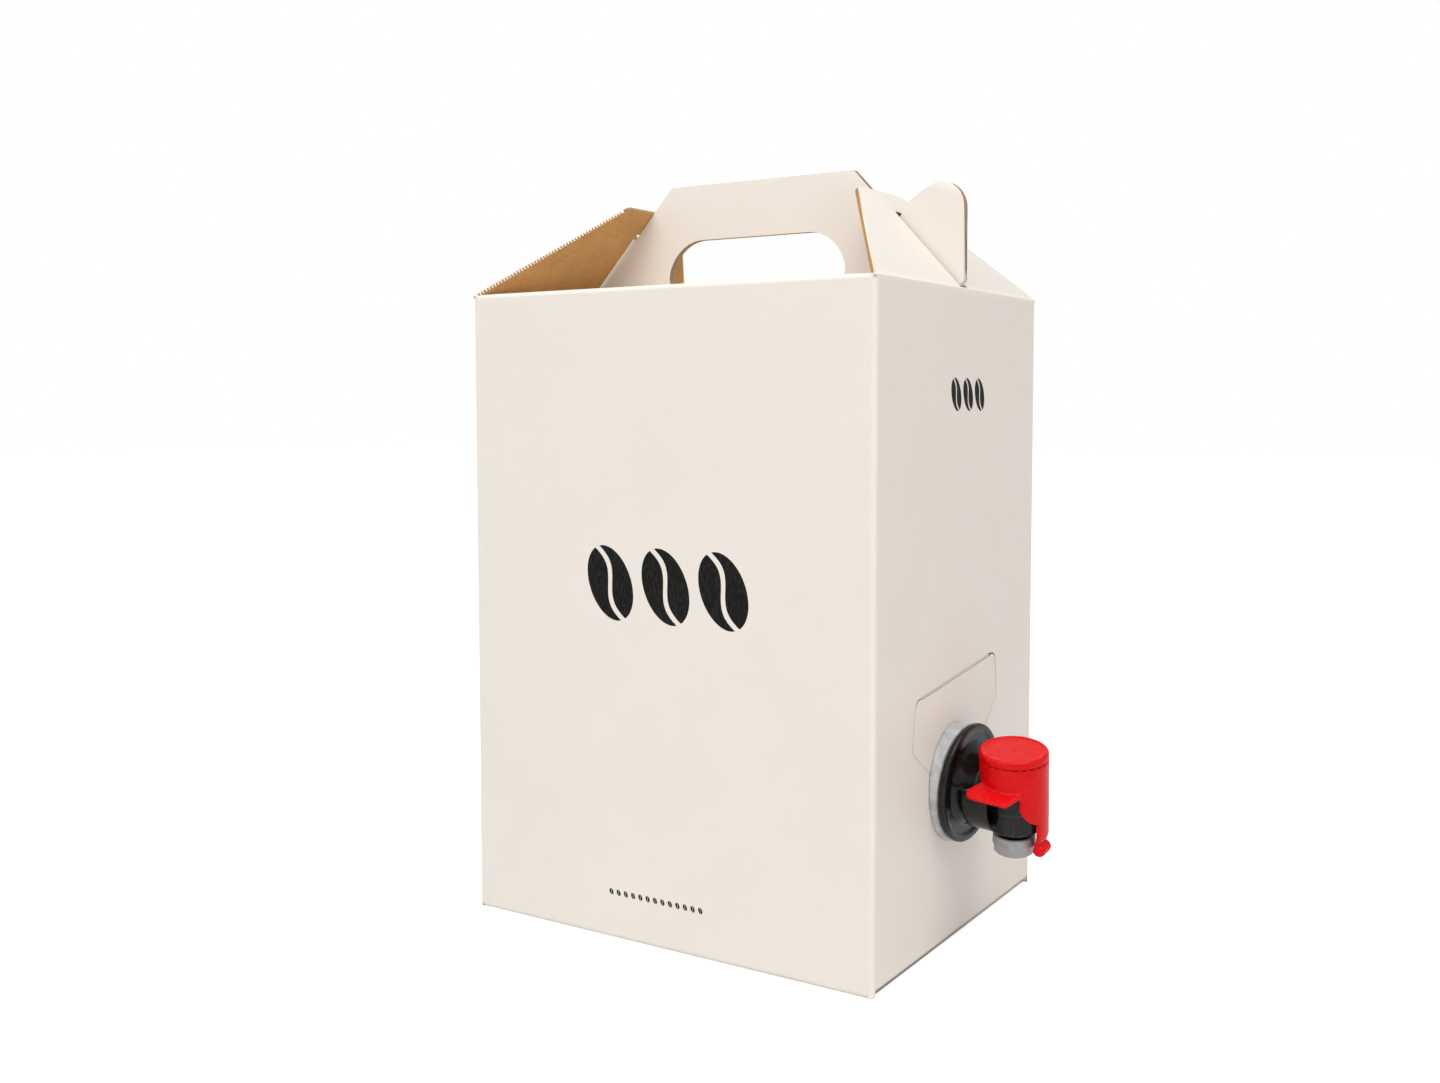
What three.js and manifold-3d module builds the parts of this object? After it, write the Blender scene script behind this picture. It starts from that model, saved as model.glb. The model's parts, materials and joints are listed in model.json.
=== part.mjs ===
// A five-litre coffee carton with a carrying handle, a filled inner bag and a press tap.
// Millimetres, +Z up. The origin is the middle of the underside, +X points out of the narrow
// panel that has the tap, and the wide front panel faces -Y.

import * as THREE from "three";
import { mergeVertices, toCreasedNormals } from "three/addons/utils/BufferGeometryUtils.js";
import Module from "manifold-3d";

const wasm = await Module();
wasm.setup();

// Driving dimensions of the carton

const WIDTH = 180; // wide panel, outside
const DEPTH = 150; // narrow panel, outside
const HEIGHT = 250; // floor to the folds of the top lids
const BOARD = 1.5; // corrugated board
const FOLD_INNER = 0.5; // inside radius of a fold
const PLY_GAP = 0.3; // air between boards that lie on each other
const EASE = 0.3; // room between pieces that touch on the real object
const HANDLE_RISE = 47.8; // top of the handle above the lids
const HAND_HOLE_WIDTH = 86; // at its foot
const HAND_HOLE_MIDDLE = -2.5; // middle of the hole along the handle
const HAND_HOLE_TOP = 25; // above the lids
const HAND_HOLE_BOTTOM = 4.5; // above the lids
const HAND_HOLE_DRAFT = 3; // each side leans in by this much
const HAND_HOLE_RADIUS = 17.1; // upper corners
const HAND_HOLE_LOWER_RADIUS = 5; // lower corners
const FLAP_SLOPE = 47.5; // degrees, side flap above level
const FLAP_LENGTH = 53; // side flap, fold to free edge
const FLAP_TIP_RADIUS = 7;
const FLAP_BASE_INSET = 3; // side flap's fold stands in from the upright folds
const SLOT_LENGTH = 41.5; // fold to the upper end of the flap's slot
const SLOT_CORNER = 1.9;
const SLOT_SIDE_ROOM = 1.6; // each side of the two handle plies
const HOOK_REACH = 41; // hook's farthest point from the flap's fold
const HOOK_CROWN_RADIUS = 10; // round outer shoulder of the hook
const HOOK_CROWN_END = 124; // degrees about the fold where the hook's round top ends
const HOOK_BACK_REACH = 38.5; // where the hook's back meets the flap, from the fold
const HOOK_FOOT_RISE = 2.5; // height over which the hook's foot widens to the carton's width
const GLUE_TAB = 32; // seam tab inside the back panel
const GLUE_TAB_TAPER = 9;

// Driving dimensions of the bottom

const OUTER_FLAP_STOP = 15; // outer flap's free edge to the back panel
const BACK_FLAP_LENGTH = 96;
const BACK_FLAP_CLIMB = 25; // length over which the back flap rises over the side flaps
const MINOR_FLAP_LENGTH = 62;
const MINOR_FLAP_TAPER = 16;

// Driving dimensions of the tap door, on the tap panel: y across, z up from the floor

const DOOR_KERF = 0.6;
const DOOR_CREASE_WIDTH = 1.4;
const DOOR_CREASE_DEPTH = 0.5;
const DOOR_CORNER = 4;
const DOOR_TOP_LEFT = [-41.6, 98.4];
const DOOR_TOP_RIGHT = [33.8, 106.4];
const DOOR_LOW_LEFT = [-44.4, 80.1];
const DOOR_LOW_RIGHT = [35.2, 88];

// Driving dimensions of the bag

const BAG_ROOM = 1; // bag to the walls
const BAG_TOP = 206; // above the floor
const BAG_EDGE_RADIUS = 22;

// Driving dimensions of the tap, in its own frame: x out of the panel, z up, y across

const TAP_Y = -6.6; // middle of the gland on the panel
const TAP_Z = 62.9;
const TAP_DROOP = 4; // degrees
const TAP_YAW = -4; // degrees
const TAP_SWIVEL = 10.3; // degrees, turned in its gland
const GLAND_FLANGE_RADIUS = 22.3;
const GLAND_FLANGE = 2.2; // thickness of both flanges
const GLAND_STANDOFF = 2.5; // flanges to the board, on the tap's axis
const GLAND_FLANGE_EDGE = 0.5; // chamfer
const GLAND_NECK_RADIUS = 15.5;
const GLAND_BORE_RADIUS = 12.3;
const GLAND_LENGTH = 14; // neck behind the panel's outer face
const WELD_FLANGE_RADIUS = 24;
const NECK_ROOM = 0.8; // board to the gland's neck
const SPIGOT_WALL = 1.6;
const SPIGOT_SNAP = 0.9; // height of the snap bead behind the gland
const SPIGOT_SNAP_LENGTH = 1.6;
const DISC_RADIUS = 22.7;
const DISC_THICKNESS = 2.7;
const DISC_DISH = 0.9;
const DISC_RIM = 2.6;
const DISC_EDGE = 0.5; // chamfer
const DISC_RIM_SLOPE = 0.8; // run of the rim's inner slope
const HUB_RADIUS = 15;
const HUB_FOOT = 1.2; // run of the hub's foot into the dish
const HUB_NECK = 1.4; // hub over the barrel, at its shoulder
const HUB_SHOULDER = 3.6; // disc's face to the hub's shoulder
const HUB_LENGTH = 5.6; // disc's face to the plain barrel
const BARREL_RADIUS = 10;
const CHANNEL_RADIUS = 6;
const VALVE_REACH = 24.9; // panel to the upright axis of the valve
const VALVE_RADIUS = 10.3;
const VALVE_BORE_RADIUS = 8;
const VALVE_TOP = 9.3;
const VALVE_LOWER_END = -12.6;
const VALVE_BAND_LOWER = -4.6; // step under the upper band
const VALVE_BAND = 0.5;
const NOZZLE_RADIUS = 6.3;
const NOZZLE_BORE_RADIUS = 5.2;
const NOZZLE_END = -16.7;
const NOZZLE_LENGTH = 2.4; // straight end that the outlet ring slips over
const SEAT_RADIUS = 4;
const SEAT_TOP = -9.6;
const SEAT_BOTTOM = -11.4;
const GRIP_RADIUS = 15.6; // outside of the curved finger rests
const GRIP_WALL = 1.8;
const GRIP_REAR = 10.8;
const GRIP_FRONT = 21;
const GRIP_LOW_ANGLE = 62; // degrees below level where a finger rest ends
const WING_TOP = 4.5; // upper face of the hood's wings
const WING_THICKNESS = 1.5;
const GRIP_PLATE = 1.5;
const GRIP_PLATE_FRONT = 8; // plate in front of the finger rests
const GRIP_PLATE_CORNER = 3;

// Driving dimensions of the hood that covers the button

const HOOD_RADIUS = 12.8;
const HOOD_WALL = 1.2;
const HOOD_TOP = 17.9;
const HOOD_EDGE_RADIUS = 1.2;
const HOOD_DISH = 0.5;
const HOOD_BAND = 3; // band above the tear line
const TEAR_DEPTH = 0.45;
const TEAR_WIDTH = 0.6;
const WING_REACH = 19.4;
const WING_REAR = 11.6;
const WING_FRONT = 6.9;
const WING_CORNER = 2.6;
const WING_SHOULDER = 2.6; // widest place, behind the valve's axis
const WING_SHOULDER_RADIUS = 6;
const WING_REAR_TAPER = 3.4;
const WING_NOSE_ALONG = 3.4; // cut-off front corner, along X
const WING_NOSE_ACROSS = 5.7; // cut-off front corner, along Y
const TONGUE_HALF_ANGLE = 50; // degrees
const TONGUE_LOW = -7.9;
const TONGUE_ROUND = 8.4; // height of the rounded lower corners
const STRIP_HALF_WIDTH = 4.2;
const STRIP_LOW = -19;
const SADDLE_ROOM = 1.2; // barrel to the notch over it, at the hood's back
const BEAD_RADIUS = 2.4;
const BEAD_LENGTH = 9.4;

// Driving dimensions of the outlet ring and the moving valve

const COLLAR_RADIUS = 7.9;
const COLLAR_END = -22.4;
const COLLAR_EDGE = 0.4; // chamfer
const COLLAR_SKIRT = 3.4; // plain lower part under the band
const COLLAR_BAND = 0.8; // height of the raised band
const COLLAR_BAND_SLOPE = 0.4;
const COLLAR_LIP = 0.2; // raised band over the ring
const COLLAR_TAPER = 0.3; // lower part under the ring's radius
const COLLAR_STOP = 0.6; // inner lip under the nozzle
const BUTTON_LOW = 3.4;
const BUTTON_TOP = 13.6;
const BUTTON_DOME = 1.8;
const BUTTON_ROOF = 2.4;
const STEM_RADIUS = 1.5;
const STEM_COLLAR = 3; // collar over the stem's radius
const STEM_COLLAR_THICKNESS = 1.2;
const STEM_COLLAR_SLOPE = 0.4;
const SEAL_RADIUS = 4.7;
const SEAL_THICKNESS = 1.6;

// Facets

const ROUND = 44;
const INNER_ROUND = 28; // pieces that never show
const BEND_STEPS = 4;
const ARC_STEPS = 10;

// Worked-out sizes

const HALF_BOARD = BOARD / 2;
const FOLD_OUTER = FOLD_INNER + BOARD;
const NEST = BOARD + PLY_GAP; // pitch of boards that lie on each other
const HALF_WIDTH = WIDTH / 2;
const HALF_DEPTH = DEPTH / 2;
const SIDE_TOP = HEIGHT - BOARD - EASE; // narrow panels end under the flaps' rounded folds
const PIVOT_IN = HALF_BOARD; // flap's fold line, in from the panel's face and down from the top
const SLOPE = THREE.MathUtils.degToRad(FLAP_SLOPE);
const PLY_CENTRE = (PLY_GAP + BOARD) / 2;
const HANDLE_THICKNESS = 2 * BOARD + PLY_GAP;
const GLAND_OUTER_FACE = GLAND_STANDOFF + GLAND_FLANGE;
const WELD_FLANGE_FACE = -BOARD - GLAND_STANDOFF - EASE;
const DISC_BACK = GLAND_OUTER_FACE + EASE;
const DISC_FACE = DISC_BACK + DISC_THICKNESS;
const SPIGOT_RADIUS = GLAND_BORE_RADIUS - EASE;
const SPIGOT_END = -GLAND_LENGTH - EASE - SPIGOT_SNAP_LENGTH;
const PANEL_HOLE_RADIUS = GLAND_NECK_RADIUS + NECK_ROOM;
const WING_BOTTOM = WING_TOP - WING_THICKNESS;
const GRIP_TOP = WING_BOTTOM - EASE;
const BOTTOM_STACK = 2 * NEST + BOARD; // three boards lie over each other on the floor
const SEAL_TOP = SEAT_BOTTOM - EASE;
const COLLAR_TOP = NOZZLE_END + NOZZLE_LENGTH - EASE;

// Placing

const UP_Z = new THREE.Matrix4();
// A shape drawn in (x, z) grows along -Y, and one drawn in (y, z) grows along +X.
const DRAWN_XZ = new THREE.Matrix4().makeBasis(
  new THREE.Vector3(1, 0, 0),
  new THREE.Vector3(0, 0, 1),
  new THREE.Vector3(0, -1, 0),
);
const DRAWN_YZ = new THREE.Matrix4().makeBasis(
  new THREE.Vector3(0, 1, 0),
  new THREE.Vector3(0, 0, 1),
  new THREE.Vector3(1, 0, 0),
);
// A profile turned about the y axis of the lathe stands on Z, or lies along X.
const LATHE_TO_Z = new THREE.Matrix4().makeRotationX(Math.PI / 2);
const LATHE_TO_X = new THREE.Matrix4().makeRotationZ(-Math.PI / 2);

const shifted = (x, y, z) => new THREE.Matrix4().makeTranslation(x, y, z);

// Solids

function solidOf(geometry, matrix = UP_Z) {
  const bare = new THREE.BufferGeometry();
  const flat = geometry.index ? geometry.toNonIndexed() : geometry;
  bare.setAttribute("position", flat.getAttribute("position").clone());
  bare.applyMatrix4(matrix);
  const merged = mergeVertices(bare, 1e-4);
  return new wasm.Manifold(
    new wasm.Mesh({
      numProp: 3,
      vertProperties: new Float32Array(merged.getAttribute("position").array),
      triVerts: new Uint32Array(merged.index.array),
    }),
  );
}

function geometryOf(solid) {
  const mesh = solid.getMesh();
  const count = mesh.vertProperties.length / mesh.numProp;
  const positions = new Float32Array(count * 3);
  for (let i = 0; i < count; i++) {
    const from = i * mesh.numProp;
    positions.set(mesh.vertProperties.subarray(from, from + 3), i * 3);
  }
  const geometry = new THREE.BufferGeometry();
  geometry.setAttribute("position", new THREE.BufferAttribute(positions, 3));
  geometry.setIndex(new THREE.BufferAttribute(new Uint32Array(mesh.triVerts), 1));
  return toCreasedNormals(geometry, THREE.MathUtils.degToRad(35));
}

const join = (...solids) => solids.reduce((whole, next) => whole.add(next));
const cut = (solid, ...tools) => tools.reduce((whole, tool) => whole.subtract(tool), solid);

// A block from its lowest and highest corners.
function block([x0, y0, z0], [x1, y1, z1]) {
  const geometry = new THREE.BoxGeometry(x1 - x0, y1 - y0, z1 - z0);
  return solidOf(geometry, shifted((x0 + x1) / 2, (y0 + y1) / 2, (z0 + z1) / 2));
}

// A flat outline given a thickness, drawn in (x, z) from the plane y = near to y = far.
function plateXZ(shape, near, far) {
  const geometry = new THREE.ExtrudeGeometry(shape, {
    depth: far - near,
    bevelEnabled: false,
    curveSegments: ARC_STEPS,
  });
  return solidOf(geometry, shifted(0, far, 0).multiply(DRAWN_XZ));
}

// The same for an outline in (y, z), from the plane x = near to x = far.
function plateYZ(shape, near, far) {
  const geometry = new THREE.ExtrudeGeometry(shape, {
    depth: far - near,
    bevelEnabled: false,
    curveSegments: ARC_STEPS,
  });
  return solidOf(geometry, shifted(near, 0, 0).multiply(DRAWN_YZ));
}

// The same for an outline in (x, y), from z = low to z = high.
function plateXY(shape, low, high) {
  const geometry = new THREE.ExtrudeGeometry(shape, {
    depth: high - low,
    bevelEnabled: false,
    curveSegments: ARC_STEPS,
  });
  return solidOf(geometry, shifted(0, 0, low));
}

// A closed profile of [radius, height] points turned about an axis. The points run so that
// the solid lies on their left.
function turned(profile, matrix, steps = ROUND) {
  const points = profile.map(([radius, height]) => new THREE.Vector2(radius, height));
  points.push(points[0].clone());
  const solid = solidOf(new THREE.LatheGeometry(points, steps), matrix);
  return solid;
}

// Outlines

function polygon(points) {
  return new THREE.Shape(points.map(([u, v]) => new THREE.Vector2(u, v)));
}

// A polygon with each corner rounded by its own radius, given as [u, v, radius].
function roundedPolygon(corners) {
  const shape = new THREE.Shape();
  const at = (i) => corners[(i + corners.length) % corners.length];
  corners.forEach(([u, v, radius = 0], i) => {
    const corner = new THREE.Vector2(u, v);
    const back = new THREE.Vector2(at(i - 1)[0], at(i - 1)[1]).sub(corner).normalize();
    const ahead = new THREE.Vector2(at(i + 1)[0], at(i + 1)[1]).sub(corner).normalize();
    const half = Math.acos(THREE.MathUtils.clamp(back.dot(ahead), -1, 1)) / 2;
    const run = radius / Math.tan(half);
    const start = corner.clone().addScaledVector(back, run);
    const end = corner.clone().addScaledVector(ahead, run);
    if (i === 0) shape.moveTo(start.x, start.y);
    else shape.lineTo(start.x, start.y);
    if (radius > 0) {
      const middle = back.clone().add(ahead).normalize();
      const centre = corner.clone().addScaledVector(middle, radius / Math.sin(half));
      const from = Math.atan2(start.y - centre.y, start.x - centre.x);
      const to = Math.atan2(end.y - centre.y, end.x - centre.x);
      const turn = back.x * ahead.y - back.y * ahead.x;
      shape.absarc(centre.x, centre.y, radius, from, to, turn > 0);
    }
  });
  shape.closePath();
  return shape;
}

// The section of a sheet of board that follows a centre line, with a round fold at each corner.
function foldedSection(path, thickness, innerRadius) {
  const left = [];
  const right = [];
  const points = path.map(([u, v]) => new THREE.Vector2(u, v));
  const half = thickness / 2;
  const side = (p, d, amount) => [p.x - d.y * amount, p.y + d.x * amount];
  points.forEach((p, i) => {
    const into = i > 0 ? p.clone().sub(points[i - 1]).normalize() : null;
    const out = i < points.length - 1 ? points[i + 1].clone().sub(p).normalize() : null;
    if (!into || !out) {
      const d = into ?? out;
      left.push(side(p, d, half));
      right.push(side(p, d, -half));
      return;
    }
    const angle = Math.atan2(into.x * out.y - into.y * out.x, into.dot(out));
    const hand = Math.sign(angle);
    const radius = innerRadius + half;
    const run = radius * Math.tan(Math.abs(angle) / 2);
    const start = p.clone().addScaledVector(into, -run);
    const centre = new THREE.Vector2(-into.y, into.x).multiplyScalar(hand * radius).add(start);
    for (let k = 0; k <= BEND_STEPS; k++) {
      const d = into.clone().rotateAround(new THREE.Vector2(), (angle * k) / BEND_STEPS);
      const on = new THREE.Vector2(d.y, -d.x).multiplyScalar(hand * radius).add(centre);
      left.push(side(on, d, half));
      right.push(side(on, d, -half));
    }
  });
  return polygon([...left, ...right.reverse()]);
}

// The carton: one blank, cut, folded and glued

const FOLD_LINE_X = HALF_WIDTH - PIVOT_IN; // fold of the right-hand side flap
const FOLD_LINE_Z = HEIGHT - PIVOT_IN;
const HANDLE_END = HALF_WIDTH - FOLD_OUTER; // panels and lids end beside the upright folds
const HOOK_END = HALF_WIDTH; // hooks reach the carton's full width
const SEAT_DROP = HALF_BOARD + EASE; // handle's sloping end under the flap's middle

// Where a line parallel to the flap, and below it by the drop, reaches a height.
function flapLineX(z, drop) {
  return FOLD_LINE_X - (z - FOLD_LINE_Z) / Math.tan(SLOPE) - drop / Math.sin(SLOPE);
}

// One end of the handle's outline, for x > 0: from the foot of the hook, round its shoulder and
// its top, into the notch that holds the flap and up the sloping end to the handle's top edge.
function handleEnd() {
  const fold = new THREE.Vector2(FOLD_LINE_X, FOLD_LINE_Z);
  const about = (centre, radius, angle) => [
    centre.x + radius * Math.cos(angle),
    centre.y + radius * Math.sin(angle),
  ];
  const crown = new THREE.Vector2(HOOK_END - HOOK_CROWN_RADIUS, 0);
  const crownReach = HOOK_REACH - HOOK_CROWN_RADIUS;
  crown.y = fold.y + Math.sqrt(crownReach ** 2 - (fold.x - crown.x) ** 2);
  const meet = crown.clone().sub(fold).angle();
  const points = [
    [HANDLE_END, HEIGHT - BOARD],
    [HANDLE_END, HEIGHT + EASE],
    [HOOK_END, HEIGHT + HOOK_FOOT_RISE],
  ];
  for (let k = 0; k <= ARC_STEPS; k++) {
    points.push(about(crown, HOOK_CROWN_RADIUS, (meet * k) / ARC_STEPS));
  }
  const end = THREE.MathUtils.degToRad(HOOK_CROWN_END);
  for (let k = 1; k <= BEND_STEPS; k++) {
    points.push(about(fold, HOOK_REACH, meet + ((end - meet) * k) / BEND_STEPS));
  }
  // The hook's back runs down to just inside the flap's slot, then across to the sloping end.
  points.push(about(fold, HOOK_BACK_REACH, Math.PI - SLOPE));
  const notchZ = FOLD_LINE_Z + (HOOK_BACK_REACH - SEAT_DROP) * Math.sin(SLOPE);
  points.push([flapLineX(notchZ, SEAT_DROP), notchZ]);
  const topZ = HEIGHT + HANDLE_RISE;
  points.push([flapLineX(topZ, SEAT_DROP), topZ]);
  return points;
}

function handleOutline() {
  const right = handleEnd();
  const left = right.map(([x, z]) => [-x, z]).reverse();
  return polygon([...right, ...left]);
}

function handHole() {
  const left = HAND_HOLE_MIDDLE - HAND_HOLE_WIDTH / 2;
  const right = HAND_HOLE_MIDDLE + HAND_HOLE_WIDTH / 2;
  const low = HEIGHT + HAND_HOLE_BOTTOM;
  const high = HEIGHT + HAND_HOLE_TOP;
  return roundedPolygon([
    [left, low, HAND_HOLE_LOWER_RADIUS],
    [right, low, HAND_HOLE_LOWER_RADIUS],
    [right - HAND_HOLE_DRAFT, high, HAND_HOLE_RADIUS],
    [left + HAND_HOLE_DRAFT, high, HAND_HOLE_RADIUS],
  ]);
}

// A wide panel with its bottom flap, lid and handle ply, as one folded sheet.
function wideSheet(path) {
  return plateYZ(foldedSection(path, BOARD, FOLD_INNER), -HOOK_END, HOOK_END);
}

function frontSheet() {
  const wall = HALF_DEPTH - HALF_BOARD;
  return wideSheet([
    [HALF_DEPTH - OUTER_FLAP_STOP, HALF_BOARD],
    [-wall, HALF_BOARD],
    [-wall, HEIGHT - HALF_BOARD],
    [-PLY_CENTRE, HEIGHT - HALF_BOARD],
    [-PLY_CENTRE, HEIGHT + HANDLE_RISE],
  ]);
}

function backSheet() {
  const wall = HALF_DEPTH - HALF_BOARD;
  const level = HALF_BOARD + 2 * NEST;
  return wideSheet([
    [PLY_CENTRE, HEIGHT + HANDLE_RISE],
    [PLY_CENTRE, HEIGHT - HALF_BOARD],
    [wall, HEIGHT - HALF_BOARD],
    [wall, HALF_BOARD],
    [wall - BACK_FLAP_CLIMB, level],
    [wall - BACK_FLAP_LENGTH, level],
  ]);
}

// A narrow panel with its bottom flap. The flap's corners are cut back so that the back
// panel's flap can rise over it.
function narrowSheet(sign) {
  const wall = HALF_WIDTH - HALF_BOARD;
  const level = HALF_BOARD + NEST;
  const section = foldedSection(
    [
      [wall - MINOR_FLAP_LENGTH, level],
      [wall, level],
      [wall, SIDE_TOP],
    ],
    BOARD,
    FOLD_INNER,
  );
  const half = HALF_DEPTH - FOLD_OUTER;
  const sheet = plateXZ(section, -half, half);
  const back = HALF_DEPTH - BACK_FLAP_CLIMB - FOLD_OUTER;
  const tip = wall - MINOR_FLAP_LENGTH;
  const root = HALF_WIDTH - FOLD_OUTER;
  const low = -1;
  const high = level + HALF_BOARD + 0.1;
  const taper = (y, direction) =>
    plateXY(
      direction > 0
        ? polygon([
            [root, y],
            [root, half + 1],
            [tip - 1, half + 1],
            [tip - 1, y - MINOR_FLAP_TAPER],
          ])
        : polygon([
            [tip - 1, -half - 1],
            [root, -half - 1],
            [root, y],
            [tip - 1, y + MINOR_FLAP_TAPER],
          ]),
      low,
      high,
    );
  const trimmed = cut(sheet, taper(back, 1), taper(-half + 1, -1));
  return sign > 0 ? trimmed : trimmed.mirror([1, 0, 0]);
}

// The four upright folds, with the panels between them.
function uprightTube() {
  const ring = roundedPolygon([
    [-HALF_WIDTH, -HALF_DEPTH, FOLD_OUTER],
    [HALF_WIDTH, -HALF_DEPTH, FOLD_OUTER],
    [HALF_WIDTH, HALF_DEPTH, FOLD_OUTER],
    [-HALF_WIDTH, HALF_DEPTH, FOLD_OUTER],
  ]);
  const x = HALF_WIDTH - BOARD;
  const y = HALF_DEPTH - BOARD;
  const bore = roundedPolygon([
    [-x, -y, FOLD_INNER],
    [x, -y, FOLD_INNER],
    [x, y, FOLD_INNER],
    [-x, y, FOLD_INNER],
  ]);
  const tube = cut(plateXY(ring, EASE, HEIGHT - EASE), plateXY(bore, -1, HEIGHT + 1));
  const midX = HALF_WIDTH - FOLD_OUTER;
  const midY = HALF_DEPTH - FOLD_OUTER;
  return cut(
    tube,
    block([-midX, -DEPTH, -1], [midX, DEPTH, FOLD_OUTER]),
    block([-midX, -DEPTH, HEIGHT - FOLD_OUTER], [midX, DEPTH, HEIGHT + 1]),
    block([-WIDTH, -midY, -1], [WIDTH, midY, NEST + FOLD_OUTER]),
    block([-WIDTH, -midY, SIDE_TOP], [WIDTH, midY, HEIGHT + 1]),
  );
}

// The tab that closes the blank into a tube, glued inside the back panel.
function glueTab() {
  const x = -HALF_WIDTH + HALF_BOARD;
  const low = BOTTOM_STACK + FOLD_OUTER;
  const high = HEIGHT - BOARD - FOLD_OUTER;
  const shape = polygon([
    [x, low],
    [x + GLUE_TAB, low + GLUE_TAB_TAPER],
    [x + GLUE_TAB, high - GLUE_TAB_TAPER],
    [x, high],
  ]);
  return plateXZ(shape, HALF_DEPTH - 2 * BOARD, HALF_DEPTH - HALF_BOARD);
}

// Cuts in the tap panel: the gland's hole, the door's cut lines and the crease it hangs on.
function tapPanelCuts(tapPlace) {
  const inside = HALF_WIDTH - BOARD - 1;
  const outside = HALF_WIDTH + 1;
  const hole = turned(
    [
      [0, -GLAND_LENGTH],
      [PANEL_HOLE_RADIUS, -GLAND_LENGTH],
      [PANEL_HOLE_RADIUS, DISC_BACK],
      [0, DISC_BACK],
    ],
    tapPlace.clone().multiply(LATHE_TO_X),
  );
  const along = (from, to, run) => {
    const length = Math.hypot(to[0] - from[0], to[1] - from[1]);
    return [0, 1].map((i) => from[i] + ((to[i] - from[i]) * run) / length);
  };
  const kerf = (top, topMate, low, end) => {
    const path = [along(top, topMate, DOOR_CORNER + 2), top, low, end];
    const section = foldedSection(path, DOOR_KERF, DOOR_CORNER - DOOR_KERF / 2);
    return plateYZ(section, inside, outside);
  };
  const neckSide = PANEL_HOLE_RADIUS * 0.9;
  const crease = foldedSection(
    [along(DOOR_TOP_LEFT, DOOR_TOP_RIGHT, 5), along(DOOR_TOP_RIGHT, DOOR_TOP_LEFT, 5)],
    DOOR_CREASE_WIDTH,
    FOLD_INNER,
  );
  return [
    hole,
    kerf(DOOR_TOP_LEFT, DOOR_TOP_RIGHT, DOOR_LOW_LEFT, [TAP_Y - neckSide, TAP_Z + 1]),
    kerf(DOOR_TOP_RIGHT, DOOR_TOP_LEFT, DOOR_LOW_RIGHT, [TAP_Y + neckSide, TAP_Z + 1]),
    plateYZ(crease, HALF_WIDTH - DOOR_CREASE_DEPTH, outside),
  ];
}

// The lids' ends stand back from the sloping flaps, on both sides of the handle's foot.
function lidEndCuts() {
  const start = flapLineX(HEIGHT, SEAT_DROP);
  const foot = HANDLE_THICKNESS / 2 + FOLD_INNER;
  const low = HEIGHT - FOLD_OUTER - EASE;
  const corner = block([start, foot, low], [WIDTH, HALF_DEPTH - FOLD_OUTER, HEIGHT + 1]);
  const right = join(corner, corner.mirror([0, 1, 0]));
  return [right, right.mirror([1, 0, 0])];
}

function cartonBody(tapPlace) {
  const aboveLids = block([-WIDTH, -DEPTH, HEIGHT + EASE], [WIDTH, DEPTH, 2 * HEIGHT]);
  const kept = plateXZ(handleOutline(), -HANDLE_THICKNESS, HANDLE_THICKNESS);
  const side = block([HANDLE_END, -DEPTH, -1], [WIDTH, DEPTH, HEIGHT + EASE]);
  const trim = join(cut(aboveLids, kept), side, side.mirror([1, 0, 0]));
  const hole = plateXZ(handHole(), -HANDLE_THICKNESS, HANDLE_THICKNESS);
  const sheets = [frontSheet(), backSheet()].map((sheet) => cut(sheet, trim, hole));
  const shell = join(uprightTube(), ...sheets, narrowSheet(1), narrowSheet(-1), glueTab());
  return cut(shell, ...lidEndCuts(), ...tapPanelCuts(tapPlace));
}

// A side flap, drawn flat with its fold along Y at the origin and its length along +X, then
// tilted up from the fold. The slot lets the handle's hook through.
function sideFlap() {
  const base = HALF_DEPTH - FLAP_BASE_INSET;
  const tip = base - FLAP_LENGTH;
  const slot = HANDLE_THICKNESS / 2 + SLOT_SIDE_ROOM;
  const outline = roundedPolygon([
    [0, -base],
    [FLAP_LENGTH, -tip, FLAP_TIP_RADIUS],
    [FLAP_LENGTH, tip, FLAP_TIP_RADIUS],
    [0, base],
  ]);
  const board = plateXY(outline, -HALF_BOARD, HALF_BOARD);
  const bead = solidOf(new THREE.CylinderGeometry(HALF_BOARD, HALF_BOARD, 2 * base, 24));
  const slotOutline = roundedPolygon([
    [-BOARD, -slot],
    [SLOT_LENGTH, -slot, SLOT_CORNER],
    [SLOT_LENGTH, slot, SLOT_CORNER],
    [-BOARD, slot],
  ]);
  return cut(join(board, bead), plateXY(slotOutline, -BOARD, BOARD));
}

// The bag: film filled to a rounded block, hollowed round the gland

function bag(tapPlace) {
  const x = HALF_WIDTH - BOARD - BAG_ROOM;
  const y = HALF_DEPTH - 2 * BOARD - BAG_ROOM;
  const low = BOTTOM_STACK + EASE;
  const r = BAG_EDGE_RADIUS;
  const outline = roundedPolygon([
    [-x + r, -y + r, r],
    [x - r, -y + r, r],
    [x - r, y - r, r],
    [-x + r, y - r, r],
  ]);
  const geometry = new THREE.ExtrudeGeometry(outline, {
    depth: BAG_TOP - low - 2 * r,
    bevelEnabled: true,
    bevelSize: r,
    bevelThickness: r,
    bevelSegments: 5,
    curveSegments: 6,
  });
  const pillow = solidOf(geometry, shifted(0, 0, low + r));
  const recess = turned(
    [
      [0, SPIGOT_END - EASE],
      [WELD_FLANGE_RADIUS + EASE, SPIGOT_END - EASE],
      [WELD_FLANGE_RADIUS + EASE, DISC_BACK],
      [0, DISC_BACK],
    ],
    tapPlace.clone().multiply(LATHE_TO_X),
  );
  return cut(pillow, recess);
}

// The tap, in its own frame

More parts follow.
